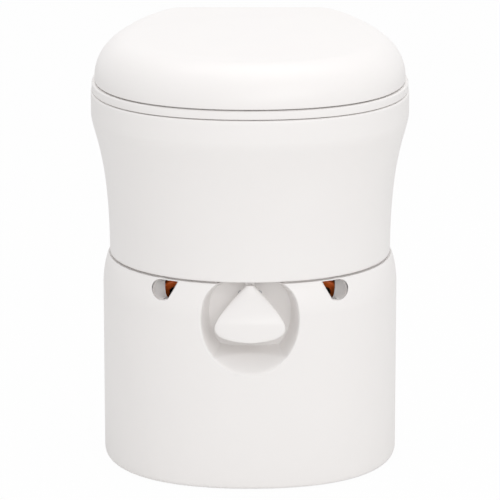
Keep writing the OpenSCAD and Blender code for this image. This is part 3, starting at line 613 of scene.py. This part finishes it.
# %% [markdown]
# ## The latch tongue
# The tongue is the rounded tab in the finger pocket: pulled forward, it frees the housing. Its front
# view is half a circle under two flanks that hollow in to a narrow neck. Each level of that outline
# is a flat superellipse, which gives the tab its even thickness and full, soft edges.

# %% Tongue
TONGUE_HALF, TONGUE_THICK, LATCH_Y, LATCH_Z, HUB_R = 38.0, 9.0, -160.0, housing_low + 10, 5.0
tongue_low, tongue_top = seam_z - 63, seam_z - 4.5


def full_turn(count):
    return np.linspace(0, 2 * math.pi, count, endpoint=False)


def squared(wave, power):
    """A sine or cosine bent towards a square, which makes a superellipse of a circle."""
    return np.sign(wave) * np.abs(wave) ** power


def tongue_level(half, z):
    lean = LATCH_Y - 6 - 19 * smooth_step((tongue_top - z) / 40)
    thick = min(TONGUE_THICK, 3 + 0.6 * half + 0.5 * (z - tongue_low))
    c, s = np.cos(full_turn(72)), np.sin(full_turn(72))
    y = lean + 1.5 * (half * c / TONGUE_HALF) ** 2 + thick / 2 * squared(s, 0.8)
    return at_height(np.column_stack([half * squared(c, 0.9), y]), z)


widest = tongue_low + 15
low_side = bezier((0, tongue_low), (22, tongue_low), (TONGUE_HALF, tongue_low + 4), (TONGUE_HALF, widest),
                  np.linspace(0.04, 1, 22))
flank = bezier((TONGUE_HALF, widest), (TONGUE_HALF, widest + 10), (23.9, widest + 23), (4, tongue_top),
               np.linspace(0, 1, 30)[1:])
tongue_rings = [tongue_level(max(half, 0.5), z) for half, z in np.vstack([low_side, flank])]
neck = pushed(box_outline((-163, seam_z - 30), (-157, LATCH_Z)), -5, 5, "x")
rib = pushed(box_outline((-174, seam_z - 30), (LATCH_Y, seam_z - 18)), -5, 5, "x", 1.0)
nib = [(LATCH_Y, -13.5), (-153, -13.5), (-151.3, -11.5), (-151.3, -8.5), (LATCH_Y, -8.5)]
nib = pushed([(y, seam_z + down) for y, down in nib], -5, 5, "x")
hub = pushed(arc((LATCH_Y, LATCH_Z), HUB_R, 0, 345, 24), -6, 6, "x", 0.4)
make_piece("tongue_skin", together(loft(tongue_rings), neck, rib, nib, hub), "latch_tongue", sharp=40)

# %% [markdown]
# ## The base shell
# The base is a tub with an elliptical shoulder. Its front is pressed in by a finger pocket: steep
# sides, a floor that rises more gently, a soft lip, and a flat back. A cutter would leave a sharp
# lip, so the pocket is a displacement. A fine grid of points covers the front, and each one moves
# straight back by a depth that grows with its distance inside the pocket's outline, up to the back
# wall. A groove under the housing's edge makes the dark joint line that hides small errors of fit.

# %% Pocket depth
POCKET_HALF, POCKET_UP, POCKET_DOWN = 52.6, 46.0, 59.5
POCKET_Z, POCKET_BACK, WALL_SLOPE = seam_z - 40, -146.0, 4.67
SIDE_LIP, LOW_LIP, BACK_CORNER = 1.5, 2.5, 3.0
FLOOR_SLOPE, FLOOR_HIGH = 1.35, 19.3  # above FLOOR_HIGH the floor turns as steep as the sides
POCKET_SQUARE, POCKET_ROUND = 2.6, 2.0  # powers of the outline above and below its widest level
FLOOR_BLEND = 1.6  # how softly the sides run into the floor
REACH_X, REACH_Y = 72.0, -100.0  # only points nearer to the middle and the front are moved


def inside_pocket(x, z):
    """How far a point of the front lies inside the pocket's outline; outside it is negative."""
    power = np.where(z > POCKET_Z, POCKET_SQUARE, POCKET_ROUND)
    reach = np.where(z > POCKET_Z, POCKET_UP, POCKET_DOWN)
    u, v = np.abs(x) / POCKET_HALF, np.abs(z - POCKET_Z) / reach
    level = np.maximum((u ** power + v ** power) ** (1 / power), 0.05)
    steepness = level ** (1 - power) * np.hypot(u ** (power - 1) / POCKET_HALF, v ** (power - 1) / reach)
    return (1 - level) / np.maximum(steepness, 1e-4)


def soft_ramp(d, width):
    """0 up to -width, d from +width, and a smooth curve between: the section of the lip."""
    return np.where(d < -width, 0, np.where(d > width, d, (d + width) ** 2 / (4 * width)))


def soft_least(a, b, round_off):
    """The smaller of two depths, with a rounded change from one to the other."""
    share = np.clip(0.5 + 0.5 * (b - a) / round_off, 0, 1)
    return b + (a - b) * share - round_off * share * (1 - share)


def pressed(points, wall=0.0, extra=0.0):
    """Moves ring points back into the pocket; with a wall, the same for the inner skin."""
    x, y, z = points.T
    front = (np.abs(x) < REACH_X) & (y < REACH_Y)
    sides = WALL_SLOPE * soft_ramp(inside_pocket(x, z) + wall, SIDE_LIP)
    rise = z - POCKET_Z + POCKET_DOWN * np.sqrt(np.maximum(1 - (x / POCKET_HALF) ** 2, 0)) + wall
    above = z + wall - (POCKET_Z - POCKET_DOWN) - FLOOR_HIGH
    floor = FLOOR_SLOPE * soft_ramp(rise, LOW_LIP) + WALL_SLOPE * soft_ramp(above, SIDE_LIP)
    depth = np.maximum(soft_least(sides, floor, FLOOR_BLEND), 0)
    back = soft_least(y + depth, POCKET_BACK + wall + extra, BACK_CORNER)
    return np.column_stack([x, np.where(front, back, y), z])


print("pocket", 2 * POCKET_HALF, "wide and", POCKET_UP + POCKET_DOWN, "high")

# %% Base rings
SHOULDER, SHOULDER_POWER, SHOULDER_END, FOOT_Z = 34.0, 1.55, 0.86, 2.0
FINE_TO, FINE_COUNT = 112.0, 110
GROOVE = ((-1.0, 1.0), (0, 1.35), (5.5, 1.4), (6.5, 1.0), (6.9, 0))  # inset and depth below the seam
BACK_EXTRA = 0.06  # the pocket's back wall is this much thicker than WALL


def fine_distances(z):
    """Distances from the middle, four times closer together on the pocket's wall than elsewhere."""
    power, reach = (POCKET_SQUARE, POCKET_UP) if z > POCKET_Z else (POCKET_ROUND, POCKET_DOWN)
    edge = POCKET_HALF * max(0, 1 - (abs(z - POCKET_Z) / reach) ** power) ** (1 / power)
    x = np.linspace(0, FINE_TO, 1200)
    density = 1 + 3 * np.exp(-((x - edge + 5) / 7) ** 2) * min(1, edge / 20)
    share = np.cumsum(density) - density[0]
    return np.interp(np.linspace(0, 1, FINE_COUNT), share / share[-1], x)


def base_ring(plan, z, wall=0.0, extra=0.0):
    """A ring whose front points crowd together on the pocket's wall, then pressed in."""
    dense = np.linspace(0, 1, 800)
    curve = front_quarter(plan, dense)
    fine_x = fine_distances(z)
    fine = np.column_stack([fine_x, np.interp(fine_x, curve[:, 0], curve[:, 1])])
    start = np.interp(FINE_TO, curve[:, 0], dense)
    front = np.vstack([fine, front_quarter(plan, np.linspace(start, 1, 15)[1:])])
    return pressed(at_height(round_trip(plan, front, 22), z), wall, extra)


def side_at(z):
    return blend_plans(foot_plan, side_plan, (z - FOOT_Z) / (seam_z - SHOULDER - FOOT_Z))


def shoulder_at(t):
    """Plan and height on the shoulder: a superellipse, a little flatter than a quarter of an ellipse."""
    up = math.sin(t * math.pi / 2)
    out = (1 - up ** SHOULDER_POWER) ** (1 / SHOULDER_POWER)
    return blend_plans(seam_plan, side_plan, out), seam_z - SHOULDER + SHOULDER * up


side_top = seam_z - SHOULDER
levels = [*np.linspace(18, 118, 6), *np.arange(122, 154, 0.75), *np.arange(154, side_top + 0.1, 1.25)]
base_rings = [base_ring(inset(foot_plan, d), FOOT_Z + z) for d, z in rounded(2, 4)]
base_rings += [base_ring(side_at(z), z) for z in levels]
base_rings += [base_ring(*shoulder_at(t)) for t in np.linspace(0, SHOULDER_END, 27)[1:]]
base_rings += [base_ring(inset(seam_plan, d), seam_z - down) for d, down in GROOVE]
base_rings += [base_ring(inset(seam_plan, 10), seam_z, WALL),
               base_ring(inset(seam_plan, 10), seam_z - WALL, WALL, BACK_EXTRA / 2)]
for t in np.linspace(1, 0, 21):
    plan, z = shoulder_at(t)
    base_rings.append(base_ring(inset(plan, WALL), z - WALL * t, WALL, BACK_EXTRA))
base_rings += [base_ring(inset(side_at(z), WALL), z, WALL, BACK_EXTRA) for z in levels[-2::-1]]
floor_edge = ((0, 4), (1.2, 1.2), (4, -0.05))
base_rings += [base_ring(inset(foot_plan, WALL + d), FLOOR_TOP + z) for d, z in floor_edge]
print("base:", len(base_rings), "rings of", len(base_rings[0]), "points")

# %% [markdown]
# ## The finger holes
# Beside the pocket the shoulder has two round holes. Behind each one the wall bends towards the
# middle like a pipe elbow, so the hole looks shallow on its outer side, while a straight slanted
# cut on its inner side shows the orange handle. The elbow is half a pipe, swept round by nearly a
# quarter turn. The hole has a crisp rim, so it is cut, and the elbow is joined on behind it.

# %% Finger holes
HOLE_R, HOLE_X, HOLE_CUT, HOLE_FACE = 10.5, 95.5, 18.5, -154.0
BEND, BEND_TO, ELBOW_WALL = 8.0, 76, 2.4
hole_z = seam_z - HOLE_R - 1.6


def elbow_ring(turn):
    """Section of the half pipe, open to the middle: out along the inner wall, back along the outer."""
    inner = arc((0, 0), HOLE_R, -100, 100, 40)
    outer = arc((0, 0), HOLE_R + ELBOW_WALL, 100, -100, 40)
    u, v = np.array(inner + outer).T
    swing = math.radians(turn)
    x = HOLE_X - BEND + (BEND + u) * math.cos(swing)
    y = HOLE_FACE + (BEND + u) * math.sin(swing)
    return np.column_stack([x, y, hole_z + v])


elbow_rings = [elbow_ring(0) + (0, ahead, 0) for ahead in (-24, -12)]
elbow_rings += [elbow_ring(turn) for turn in range(0, BEND_TO + 1, 4)]
core = rings_of(side_plan, [(2, FLOOR_TOP), (2, side_top)]) + rings_of(seam_plan, [(2, seam_z - 1)])
core = loose("core", loft(core))
elbow = mesh_part(cut(loose("elbow", loft(elbow_rings)), core, operation="INTERSECT"))
inner_cut = [(HOLE_X, hole_z - HOLE_R), (HOLE_X, hole_z + HOLE_R), (HOLE_X - HOLE_CUT, hole_z + HOLE_R),
             (HOLE_X + 0.4 * HOLE_R - 0.6 * HOLE_CUT, hole_z - 0.85 * HOLE_R)]
inner_cut = pushed(inner_cut, -178, -148, "y", 0)
hole_rod = pushed(arc((HOLE_X, hole_z), HOLE_R, 0, 355, 72), -190, -140, "y", 0)
base = loose("base", loft(base_rings))
for rod, wedge in ((hole_rod, inner_cut), (mirrored(hole_rod), mirrored(inner_cut))):
    cut(base, loose("rod", rod), loose("wedge", wedge))
make_piece("base_skin", together(mesh_part(base), both_sides(elbow)), "base_shell", sharp=50)

# %% [markdown]
# ## The canister's handle
# The orange bow is one moulding: a bar of 9 mm with round edges, bent at both shoulders, on two
# screwed pads. It leans forward, towards the hand. A bar that keeps its section along a bent path
# is a sweep: a frame is carried along the path and turned as little as possible at each step.

# %% Sweep helper
def swept(path, section, across=(0, 1, 0)):
    """Closed solid of a section (u, v) carried along a path; u starts along `across`."""
    path = np.asarray(path, float)
    ahead = np.gradient(path, axis=0)
    ahead /= np.linalg.norm(ahead, axis=1)[:, None]
    side, rings = np.array(across, float), []
    for point, direction in zip(path, ahead):
        side = side - direction * (side @ direction)
        side /= np.linalg.norm(side)
        up = np.cross(direction, side)
        rings.append(point + np.outer(section[:, 0], side) + np.outer(section[:, 1], up))
    return loft(rings)


def soft_square(half_u, half_v, power=0.45, count=32):
    u, v = squared(np.cos(full_turn(count)), power), squared(np.sin(full_turn(count)), power)
    return np.column_stack([half_u * u, half_v * v])


print("sweep helper ready")

# %% Handle
HANDLE_HALF, HANDLE_Y, HANDLE_BAR, HANDLE_ROUND, PAD_THICK = 96.0, -108.0, 9.0, 16.0, 3.0
handle_low, handle_high = node_mm("canister_handle")[0][2], node_mm("canister_handle")[1][2]
bar, lean = HANDLE_BAR / 2, math.radians(28)
bow_high = (handle_high - handle_low - bar * math.sin(lean)) / math.cos(lean)
bend_x, bend_up = HANDLE_HALF - HANDLE_ROUND, bow_high - HANDLE_ROUND
right = [(HANDLE_HALF - bar, up) for up in np.linspace(PAD_THICK, bend_up, 8)[:-1]]
right += arc((bend_x, bend_up), HANDLE_ROUND - bar, 0, 90, 12)
right += [(x, bow_high - bar) for x in np.linspace(bend_x, 0, 12)[1:]]
across, up = np.array(right + [(-x, u) for x, u in right[-2::-1]]).T
path = np.column_stack([across, HANDLE_Y - up * math.sin(lean), handle_low + up * math.cos(lean)])
pad = pushed(box_outline((HANDLE_HALF - 22, HANDLE_Y - 7), (HANDLE_HALF - 1, HANDLE_Y + 7)),
             handle_low, handle_low + PAD_THICK, "z", 0.9)
make_piece("handle_bow", together(swept(path, soft_square(bar, bar)), both_sides(pad)), "canister_handle")

# %% [markdown]
# ## Turned pieces
# Caps, washers, pins, spouts and rubber feet are turned or moulded round. Each is a profile of
# radius and height, spun about an axis. No moulded or turned corner is sharp, so the profile's
# corners are rounded first, by a few tenths of a millimetre.

# %% Spinning helpers
PIN_HOLE = 0.02  # a profile that touches the axis keeps this hole, far too fine to see


def soften(corners, radius=0.4, steps=3):
    """Rounds each corner of a closed profile with a short curve."""
    corners, out = np.array(corners, float), []
    for k, here in enumerate(corners):
        before, after = corners[k - 1] - here, corners[(k + 1) % len(corners)] - here
        long_before, long_after = np.linalg.norm(before), np.linalg.norm(after)
        near = min(radius, 0.45 * long_before, 0.45 * long_after)
        start, end = here + before / long_before * near, here + after / long_after * near
        t = np.linspace(0, 1, steps + 1)[:, None]
        out.append((1 - t) ** 2 * start + 2 * (1 - t) * t * here + t ** 2 * end)
    return np.vstack(out)


def spun(profile, place, axis="z", count=40, radius=0.4, wave=None):
    """A closed profile of (radius, height) spun round an axis through place; wave varies the radius."""
    profile = soften(profile, radius)
    profile[:, 0] = np.maximum(profile[:, 0], PIN_HOLE)
    angles, rings = full_turn(count), []
    for r, h in profile:
        reach = r + (wave(angles, r, h) if wave else 0)
        u, v, w = reach * np.cos(angles), reach * np.sin(angles), np.full(count, h)
        rings.append(np.column_stack({"x": (w, u, v), "y": (v, w, u), "z": (u, v, w)}[axis]) + place)
    return loft(rings, closed=True)


def disc(radius, low, high):
    """The profile of a plain round bar."""
    return [(0, low), (radius, low), (radius, high), (0, high)]


def copies(part, places):
    points, faces = part
    return together(*[(points + np.array(place, float), faces) for place in places])


def four_corners(*places):
    """Each place and its mirror image on the other side."""
    return [(sign * x, *rest) for x, *rest in places for sign in (1, -1)]


print("spinning helpers ready")

# %% [markdown]
# ## Screws
# Every screw is the same kind: a pan head with a pressed cross recess, and a rolled thread, drawn
# as rings because a real helix of this size is never seen. One is made for each length, standing
# on z with its head up, and copied to all of its places.

# %% Screws
THREAD_PITCH = 0.9


def screw(head_r, head_h, shaft_r, length):
    """A pan-head screw along z: the underside of its head at 0, its shaft below."""
    core_r = shaft_r * 0.82
    thread = [(0, -length), (shaft_r * 0.55, -length)]
    for z in np.arange(-length + 1.2, -0.4, THREAD_PITCH):
        thread += [(core_r, z - 0.3), (shaft_r, z), (core_r, z + 0.3)]
    head = [(core_r, 0), (head_r, 0), (head_r, head_h * 0.45), (head_r * 0.7, head_h * 0.93), (0, head_h)]
    body = spun(thread + head, (0, 0, 0), count=24, radius=0.15)
    arm, deep = head_r * 0.52, head_h * 0.55
    cross = [pushed(box_outline((-a, -b), (a, b)), head_h - deep, head_h + 1, "z", 0)
             for a, b in ((arm, head_r * 0.14), (head_r * 0.14, arm))]
    return mesh_part(cut(loose("screw", body), *[loose("slot", part) for part in cross]))


def aimed(part, way):
    """Turns a part that stands on z so that its head points to the front, to the back or down."""
    points, faces = part
    x, y, z = points.T
    return np.column_stack({"front": (x, -z, y), "back": (x, z, -y), "down": (x, -y, -z)}[way]), faces


screw_sets = {
    "catch_screw": (aimed(screw(3.0, 1.4, 1.6, 7.6), "front"), [(10, POCKET_BACK - 1.6, seam_z - 18)]),
    "handle_screw": (screw(3.8, 2.0, 2.0, 9), [(HANDLE_HALF - 17, HANDLE_Y, handle_low + PAD_THICK)]),
    "hinge_screw": (aimed(screw(3.8, 1.4, 2.0, 9), "back"),
                    [(x, HINGE_BACK + PLATE_THICK, hinge_z - 22.5) for x in (EAR_X - 12, EAR_X + 12)]),
    "latch_screw": (screw(3.0, 1.8, 1.6, 7), [(20, LATCH_Y + 3, housing_low + WALL + 2)]),
    "lid_screw": (aimed(screw(3.8, 1.5, 2.0, 12), "down"), [(*place, lid_low + 1) for place in LID_SCREWS])}
for name, (part, places) in screw_sets.items():
    make_piece(name + "_set", copies(part, four_corners(*places)), name + "s")

# %% [markdown]
# ## The tubs
# The solids bucket is a thin-walled tub with draft, so that it comes off its mould and stacks, and
# a rolled flange to lift it by. An orange ring drops over its rim and holds the liner. The canister
# is a blow-moulded tank: rounded edges all round, because blown plastic can't fill a sharp corner,
# with two short necks on top.

# %% Solids bucket and bag ring
bucket_top = node_mm("solids_bucket")[1][2]
bucket_plan = [122, -40, 20, 72, 140, 0.75, 0.80, 0.42, 0.46]
DRAFT, TUB_WALL, WALL_LOW, FLANGE = 11.0, 2.5, 14.3, 4.0
bucket_foot = inset(bucket_plan, DRAFT)


def tub_wall(t, inward):
    plan = inset(blend_plans(bucket_foot, bucket_plan, t), inward)
    return ring(plan, WALL_LOW + (bucket_top - FLANGE - WALL_LOW) * t)


bucket_rings = rings_of(bucket_foot, [(8, 6.3), (5, 6.5), (2.4, 7.6), (0.7, 10.2)])
bucket_rings += [tub_wall(t, 0) for t in np.linspace(0, 1, 14)]
rolled_flange = [(-4.2, -4), (-5, -3.2), (-5, -1), (-4, 0), (1.5, 0), (2.5, -1)]
bucket_rings += rings_of(bucket_plan, rolled_flange, bucket_top)
bucket_rings += [tub_wall(t, TUB_WALL) for t in np.linspace(0.995, 0, 14)]
bucket_rings += rings_of(bucket_foot, [(3.0, 12.2), (4.8, 9.9), (8, 8.8)])
make_piece("bucket_skin", loft(bucket_rings), "solids_bucket")

bag_section = [(-5.3, -8), (-8.3, -8), (-8.3, 2.2), (-7.5, 3), (0.2, 3), (1, 2.2), (1, 0), (-5.3, 0)]
make_piece("bag_ring_skin", band(bucket_plan, bag_section, bucket_top), "bag_ring")

# %% Canister with its two necks
FILL_Y, POUR_Y = -70.0, -100.0
FILL_TOP, POUR_TOP, FILL_R, POUR_R = 194.0, 192.0, 11.0, 10.0
TANK_EDGE, TANK_LOW, NECK_HIGH = 5.0, 6.3, 14.0
tank_top = node_mm("urine_canister")[1][2] - NECK_HIGH
tank_plan = [126, -133, -72, 104, -50, 0.66, 0.66, 0.40, 0.50]


def tank_side(inward):
    """Rings of the tank with both its rounded edges; an inset gives the hollow inside."""
    curve, plan = rounded(TANK_EDGE, TANK_EDGE), inset(tank_plan, inward)
    low = rings_of(plan, curve, TANK_LOW + inward)
    return low + rings_of(plan, [(d, -z) for d, z in curve[::-1]], tank_top - inward)


tank, hollow = loose("tank", loft(tank_side(0))), loose("hollow", loft(tank_side(TUB_WALL)))
necks = ((FILL_Y, FILL_TOP, FILL_R), (POUR_Y, POUR_TOP, POUR_R))
for y, top, bore in necks:
    collar = spun(disc(bore + TUB_WALL, tank_top - 1, top), (0, y, 0), radius=0.6)
    cut(tank, loose("collar", collar), operation="UNION")
cut(tank, hollow)
for y, top, bore in necks:
    cut(tank, loose("bore", spun(disc(bore, tank_top - 6, top + 3), (0, y, 0), radius=0.1)))
make_piece("canister_skin", mesh_part(tank), "urine_canister")

# %% Grommet, drain spout, cap and its seal
CAP_R, FLUTES, FLUTE_DEEP = 15.2, 14, 0.55
grommet = [(8.3, -8), (10.95, -8), (10.95, 0), (13.5, 0), (13.5, 2), (8.3, 2)]
grommet = [(r, FILL_TOP + h) for r, h in grommet]
make_piece("grommet_skin", spun(grommet, (0, FILL_Y, 0)), "neck_grommet")
spout = [(6.4, 170), (8, 170), (8, 353.3), (12, 353.3), (12, 354.3), (7, 354.7), (6.4, 353.3)]
make_piece("spout_skin", spun(spout, (0, FILL_Y, 0)), "drain_spout")


def grips(angles, r, h):
    """Shallow flutes on the cap's side, for wet fingers."""
    return -FLUTE_DEEP * (0.5 + 0.5 * np.cos(FLUTES * angles)) * (r > CAP_R - 0.6)


cap_profile = [(12.8, 182), (CAP_R, 182), (CAP_R, 196.5), (0, 196.5), (0, 193.5), (12.8, 193.5)]
cap_seal = [(8, 192.1), (12.5, 192.1), (12.5, 193.5), (8, 193.5)]
cap = spun(cap_profile, (0, POUR_Y, 0), count=8 * FLUTES, radius=0.8, wave=grips)
make_piece("cap_skin", cap, "pour_cap")
make_piece("cap_seal_skin", spun(cap_seal, (0, POUR_Y, 0)), "cap_seal")

# %% [markdown]
# ## The separator bowl
# The bowl parts urine from solids. Its front is a shallow dish that falls to a drain on the middle
# line, its back is a chute straight down into the bucket, and a saddle divides the two. In mesh
# code it is one apron of rings between two outlines, the seat's hole above and the chute's below,
# with a height for each point that mixes the dish, the saddle and the steep back. The drain stands
# over the canister's filling neck.

# %% Separator bowl
DISH_LOW, SADDLE, CHUTE_LOW, BOWL_WALL = 354.0, 408.0, 284.0, 2.5
DISH_HALF, DISH_FRONT, DISH_BACK = 64.0, 74.0, 40.0  # how far the dish reaches from its drain
APRON_LOW = (380.0, 350.0)  # the apron's foot, at the front and at the back of the chute
bowl_rim = seat_low - 2.5


def apron_height(t, x, y):
    """Height of the apron at a share t of the way from the seat's hole down to the chute."""
    d = np.hypot(x / DISH_HALF, (y - FILL_Y) / np.where(y < FILL_Y, DISH_FRONT, DISH_BACK))
    low = APRON_LOW[0] + (APRON_LOW[1] - APRON_LOW[0]) * smooth_step((y + 24) / 60)
    plain = SADDLE + (low - SADDLE) * t ** 0.8
    return DISH_LOW + (plain - DISH_LOW) * smooth_step((d - 0.28) / 0.72)


top_loop, low_loop = loop(inset(hole_plan, 2.5)), loop(chute_plan)
bowl_rings = [ring(hole_plan, bowl_rim)]
for t in np.linspace(0, 1, 31):
    x, y = (top_loop + (low_loop - top_loop) * t).T
    bowl_rings.append(np.column_stack([x, y, apron_height(t, x, y)]))
last = bowl_rings[-1]
bottom = loop(inset(chute_plan, 5))
for t in np.linspace(0, 1, 8)[1:]:
    pull = 0.25 * math.sin(math.pi * t) * (1 - t)
    plan_points = last[:, :2] + (bottom - last[:, :2]) * (t - pull)
    bowl_rings.append(np.column_stack([plan_points, last[:, 2] + (CHUTE_LOW - last[:, 2]) * t]))

inner_face = np.array(bowl_rings)
around = np.roll(inner_face, -1, axis=1) - np.roll(inner_face, 1, axis=1)
normal = np.cross(np.gradient(inner_face, axis=0), around)
normal /= np.maximum(np.linalg.norm(normal, axis=2, keepdims=True), 1e-6)
outer_face = inner_face + normal * BOWL_WALL
outer_face[0][:, 2] = bowl_rim - 1
outer_face[-1][:, 2] = CHUTE_LOW
bowl_lip = [(-3, -1), (-16.6, -1), (-17.2, -0.4), (-17.2, 1.1)]
bowl_lip += [(-16.6, 1.5), (-2.4, 1.5), (-1, 1), (-0.3, 0.3)]
bowl_all = [*outer_face[::-1], *rings_of(hole_plan, bowl_lip, bowl_rim), *inner_face]
bowl = loose("bowl", loft(bowl_all, closed=True))
for radius, low in ((8.1, DISH_LOW - 14), (12.2, DISH_LOW - 0.7)):
    cut(bowl, loose("bore", spun(disc(radius, low, DISH_LOW + 16), (0, FILL_Y, 0), radius=0.1)))
make_piece("bowl_skin", mesh_part(bowl), "separator_bowl")
bowl_seal = band(hole_plan, [(-17.2, -2), (-17.2, -1), (-9, -1), (-9, -2)], bowl_rim)
make_piece("separator_seal_skin", bowl_seal, "separator_seal")

# %% [markdown]
# ## Small rubber pieces
# Feet have a barbed stem that is pressed through the wall, seat bumpers a plain one, lid bumpers are
# glued on, and a seal lies on its ledge. All are dull and soft edged.

# %% Feet, gasket, bumpers and lid seal
def round_set(name, profile, places, node):
    """A round piece at each place, its profile's heights counted from there, and all of them mirrored."""
    make_piece(name, copies(spun(profile, (0, 0, 0)), four_corners(*places)), node)


foot = [(0, 0), (13.2, 0), (15, 0.6), (14.2, 2), (4, 2), (4, 4), (6, 4), (5, 6), (0, 6)]
round_set("feet_skin", foot, [(110, -118, 0), (92, 124, 0)], "rubber_feet")


def open_strip(plan, out, inside, low, high, gap_half):
    """A band that follows a plan but leaves a gap at the front: a section carried along the loop."""
    points = loop(inset(plan, (out + inside) / 2), 120)
    start = int(np.argmax(points[:, 0] > gap_half))
    points = points[start:len(points) - start + 1]
    path = at_height(points, (low + high) / 2)
    section = soft_square((inside - out) / 2, (high - low) / 2, 0.5, 16)
    ahead = np.gradient(points, axis=0)
    side = np.column_stack([ahead[:, 1], -ahead[:, 0], np.zeros(len(points))])
    side /= np.linalg.norm(side, axis=1)[:, None]
    upward = np.outer(section[:, 1], (0, 0, 1))
    return loft([p + np.outer(section[:, 0], s) + upward for p, s in zip(path, side)])


gasket_low, gasket_high = (corner_mm[2] for corner_mm in node_mm("base_gasket"))
gasket = open_strip(seam_plan, out=7, inside=9.8, low=gasket_low, high=gasket_high, gap_half=38.6)
make_piece("gasket_skin", gasket, "base_gasket")
bumper = [(0, 0), (5.2, 0), (6, 0.5), (6, 1), (2, 1), (2, 4.4), (1.4, 4.8), (0, 4.8)]
round_set("seat_bumper_skin", bumper, [(140, -60, rim_z), (118, 140, rim_z)], "seat_bumpers")
dome = [(0, 0), (2.8, 0.25), (4.4, 0.9), (5, 1.8), (5, 2.5), (0, 2.5)]
round_set("lid_bumper_skin", dome, [(146, -50, seat_high), (116, 145, seat_high)], "lid_bumpers")
seal_section = [(-12, 0.9), (-10.6, 0.25), (-9, 0), (-7.4, 0.25), (-6, 0.9), (-6, 2.2), (-12, 2.2)]
make_piece("lid_seal_skin", band(hole_plan, seal_section, lid_low - 1.2), "lid_seal")

# %% [markdown]
# ## The lid's inner panel
# A flat panel closes the hollow lid from below. It is moulded separately, with a small round on its
# edge, and screwed to four bosses.

# %% Lid panel
panel_section = [(100, 1), (4, 1), (3.4, 1.3), (3.3, 1.9), (3.3, 2.9), (3.7, 3.5), (100, 3.5)]
make_piece("lid_panel_skin", loft(rings_of(lid_plan, panel_section, lid_low)), "lid_panel")

# %% [markdown]
# ## Hinge
# The lid and the seat turn about one line. Two brackets on the housing's back carry steel pins
# with a turned head outside and a pressed cap inside. A bracket is a screwed plate with an ear
# that is rounded about the pin.

# %% Hinge brackets, pins and caps
plate = pushed(box_outline((EAR_X - 18, hinge_z - 31.5), (EAR_X + 18, hinge_z - 6.5)),
               HINGE_BACK, HINGE_BACK + PLATE_THICK, "y", 1.0)
ear = [(HINGE_BACK, hinge_z - 16.5), (202, hinge_z - 16.5), (HINGE_Y + 6.2, hinge_z - 3.2)]
ear += arc(hinge_axis, BARREL_R, -27, 207, 28) + [(HINGE_BACK, hinge_z - 7)]
ear = pushed(ear, EAR_X - EAR_HALF, EAR_X + EAR_HALF, "x", 0.8)
make_piece("hinge_bracket_skin", both_sides(plate, ear), "hinge_brackets")
pin = [(0, 53.7), (3, 53.7), (3, 88.3), (5, 88.3), (5, 90.0), (4.2, 90.7), (0, 90.7)]
make_piece("hinge_pin_skin", both_sides(spun(pin, (0, *hinge_axis), "x")), "hinge_pins")
knob = [(3.05, 50.5), (4.2, 50.5), (5, 51.3), (5, 53.7), (3.05, 53.7)]
make_piece("hinge_cap_skin", both_sides(spun(knob, (0, *hinge_axis), "x")), "hinge_caps")

# %% [markdown]
# ## Latch hardware
# On the housing's floor a bent steel bracket holds the tongue on a headed pin. A wire spring, coiled
# on the pin beside it, pushes the tongue back. The coil is a helix, swept along the wire's own path.

# %% Latch bracket, pin and spring
CHEEK_IN, CHEEK_OUT = 6.3, 9.3
COIL_TURNS, COIL_R, WIRE_R, COIL_X = 4.0, 2.95, 0.42, (-13.9, -9.9)
bracket_z = housing_low + WALL
web = slotted_plate(26, -148, bracket_z, 2, slot_half=CHEEK_IN)
cheek = [(LATCH_Y - HUB_R, bracket_z + 0.5), (LATCH_Y + HUB_R, bracket_z + 0.5)]
cheek = pushed(cheek + arc((LATCH_Y, LATCH_Z), HUB_R, 0, 180, 20), CHEEK_IN, CHEEK_OUT, "x", 0.4)
make_piece("latch_bracket_skin", together(web, both_sides(cheek)), "latch_bracket")
pin = [(0, -15.6), (1.6, -15.6), (2, -15.1), (2, 9.6), (3.6, 9.6), (3.6, 10.6), (3, 11.1), (0, 11.1)]
make_piece("latch_pin_skin", spun(pin, (0, LATCH_Y, LATCH_Z), "x"), "latch_pin")
angles = np.linspace(0, COIL_TURNS * 2 * math.pi, int(COIL_TURNS * 28))
coil = np.column_stack([np.linspace(*COIL_X, len(angles)),
                        LATCH_Y + COIL_R * np.sin(angles), LATCH_Z + COIL_R * np.cos(angles)])
round_wire = np.array(arc((0, 0), WIRE_R, 0, 324, 10))
make_piece("latch_spring_skin", swept(coil, round_wire, (1, 0, 0)), "latch_spring")
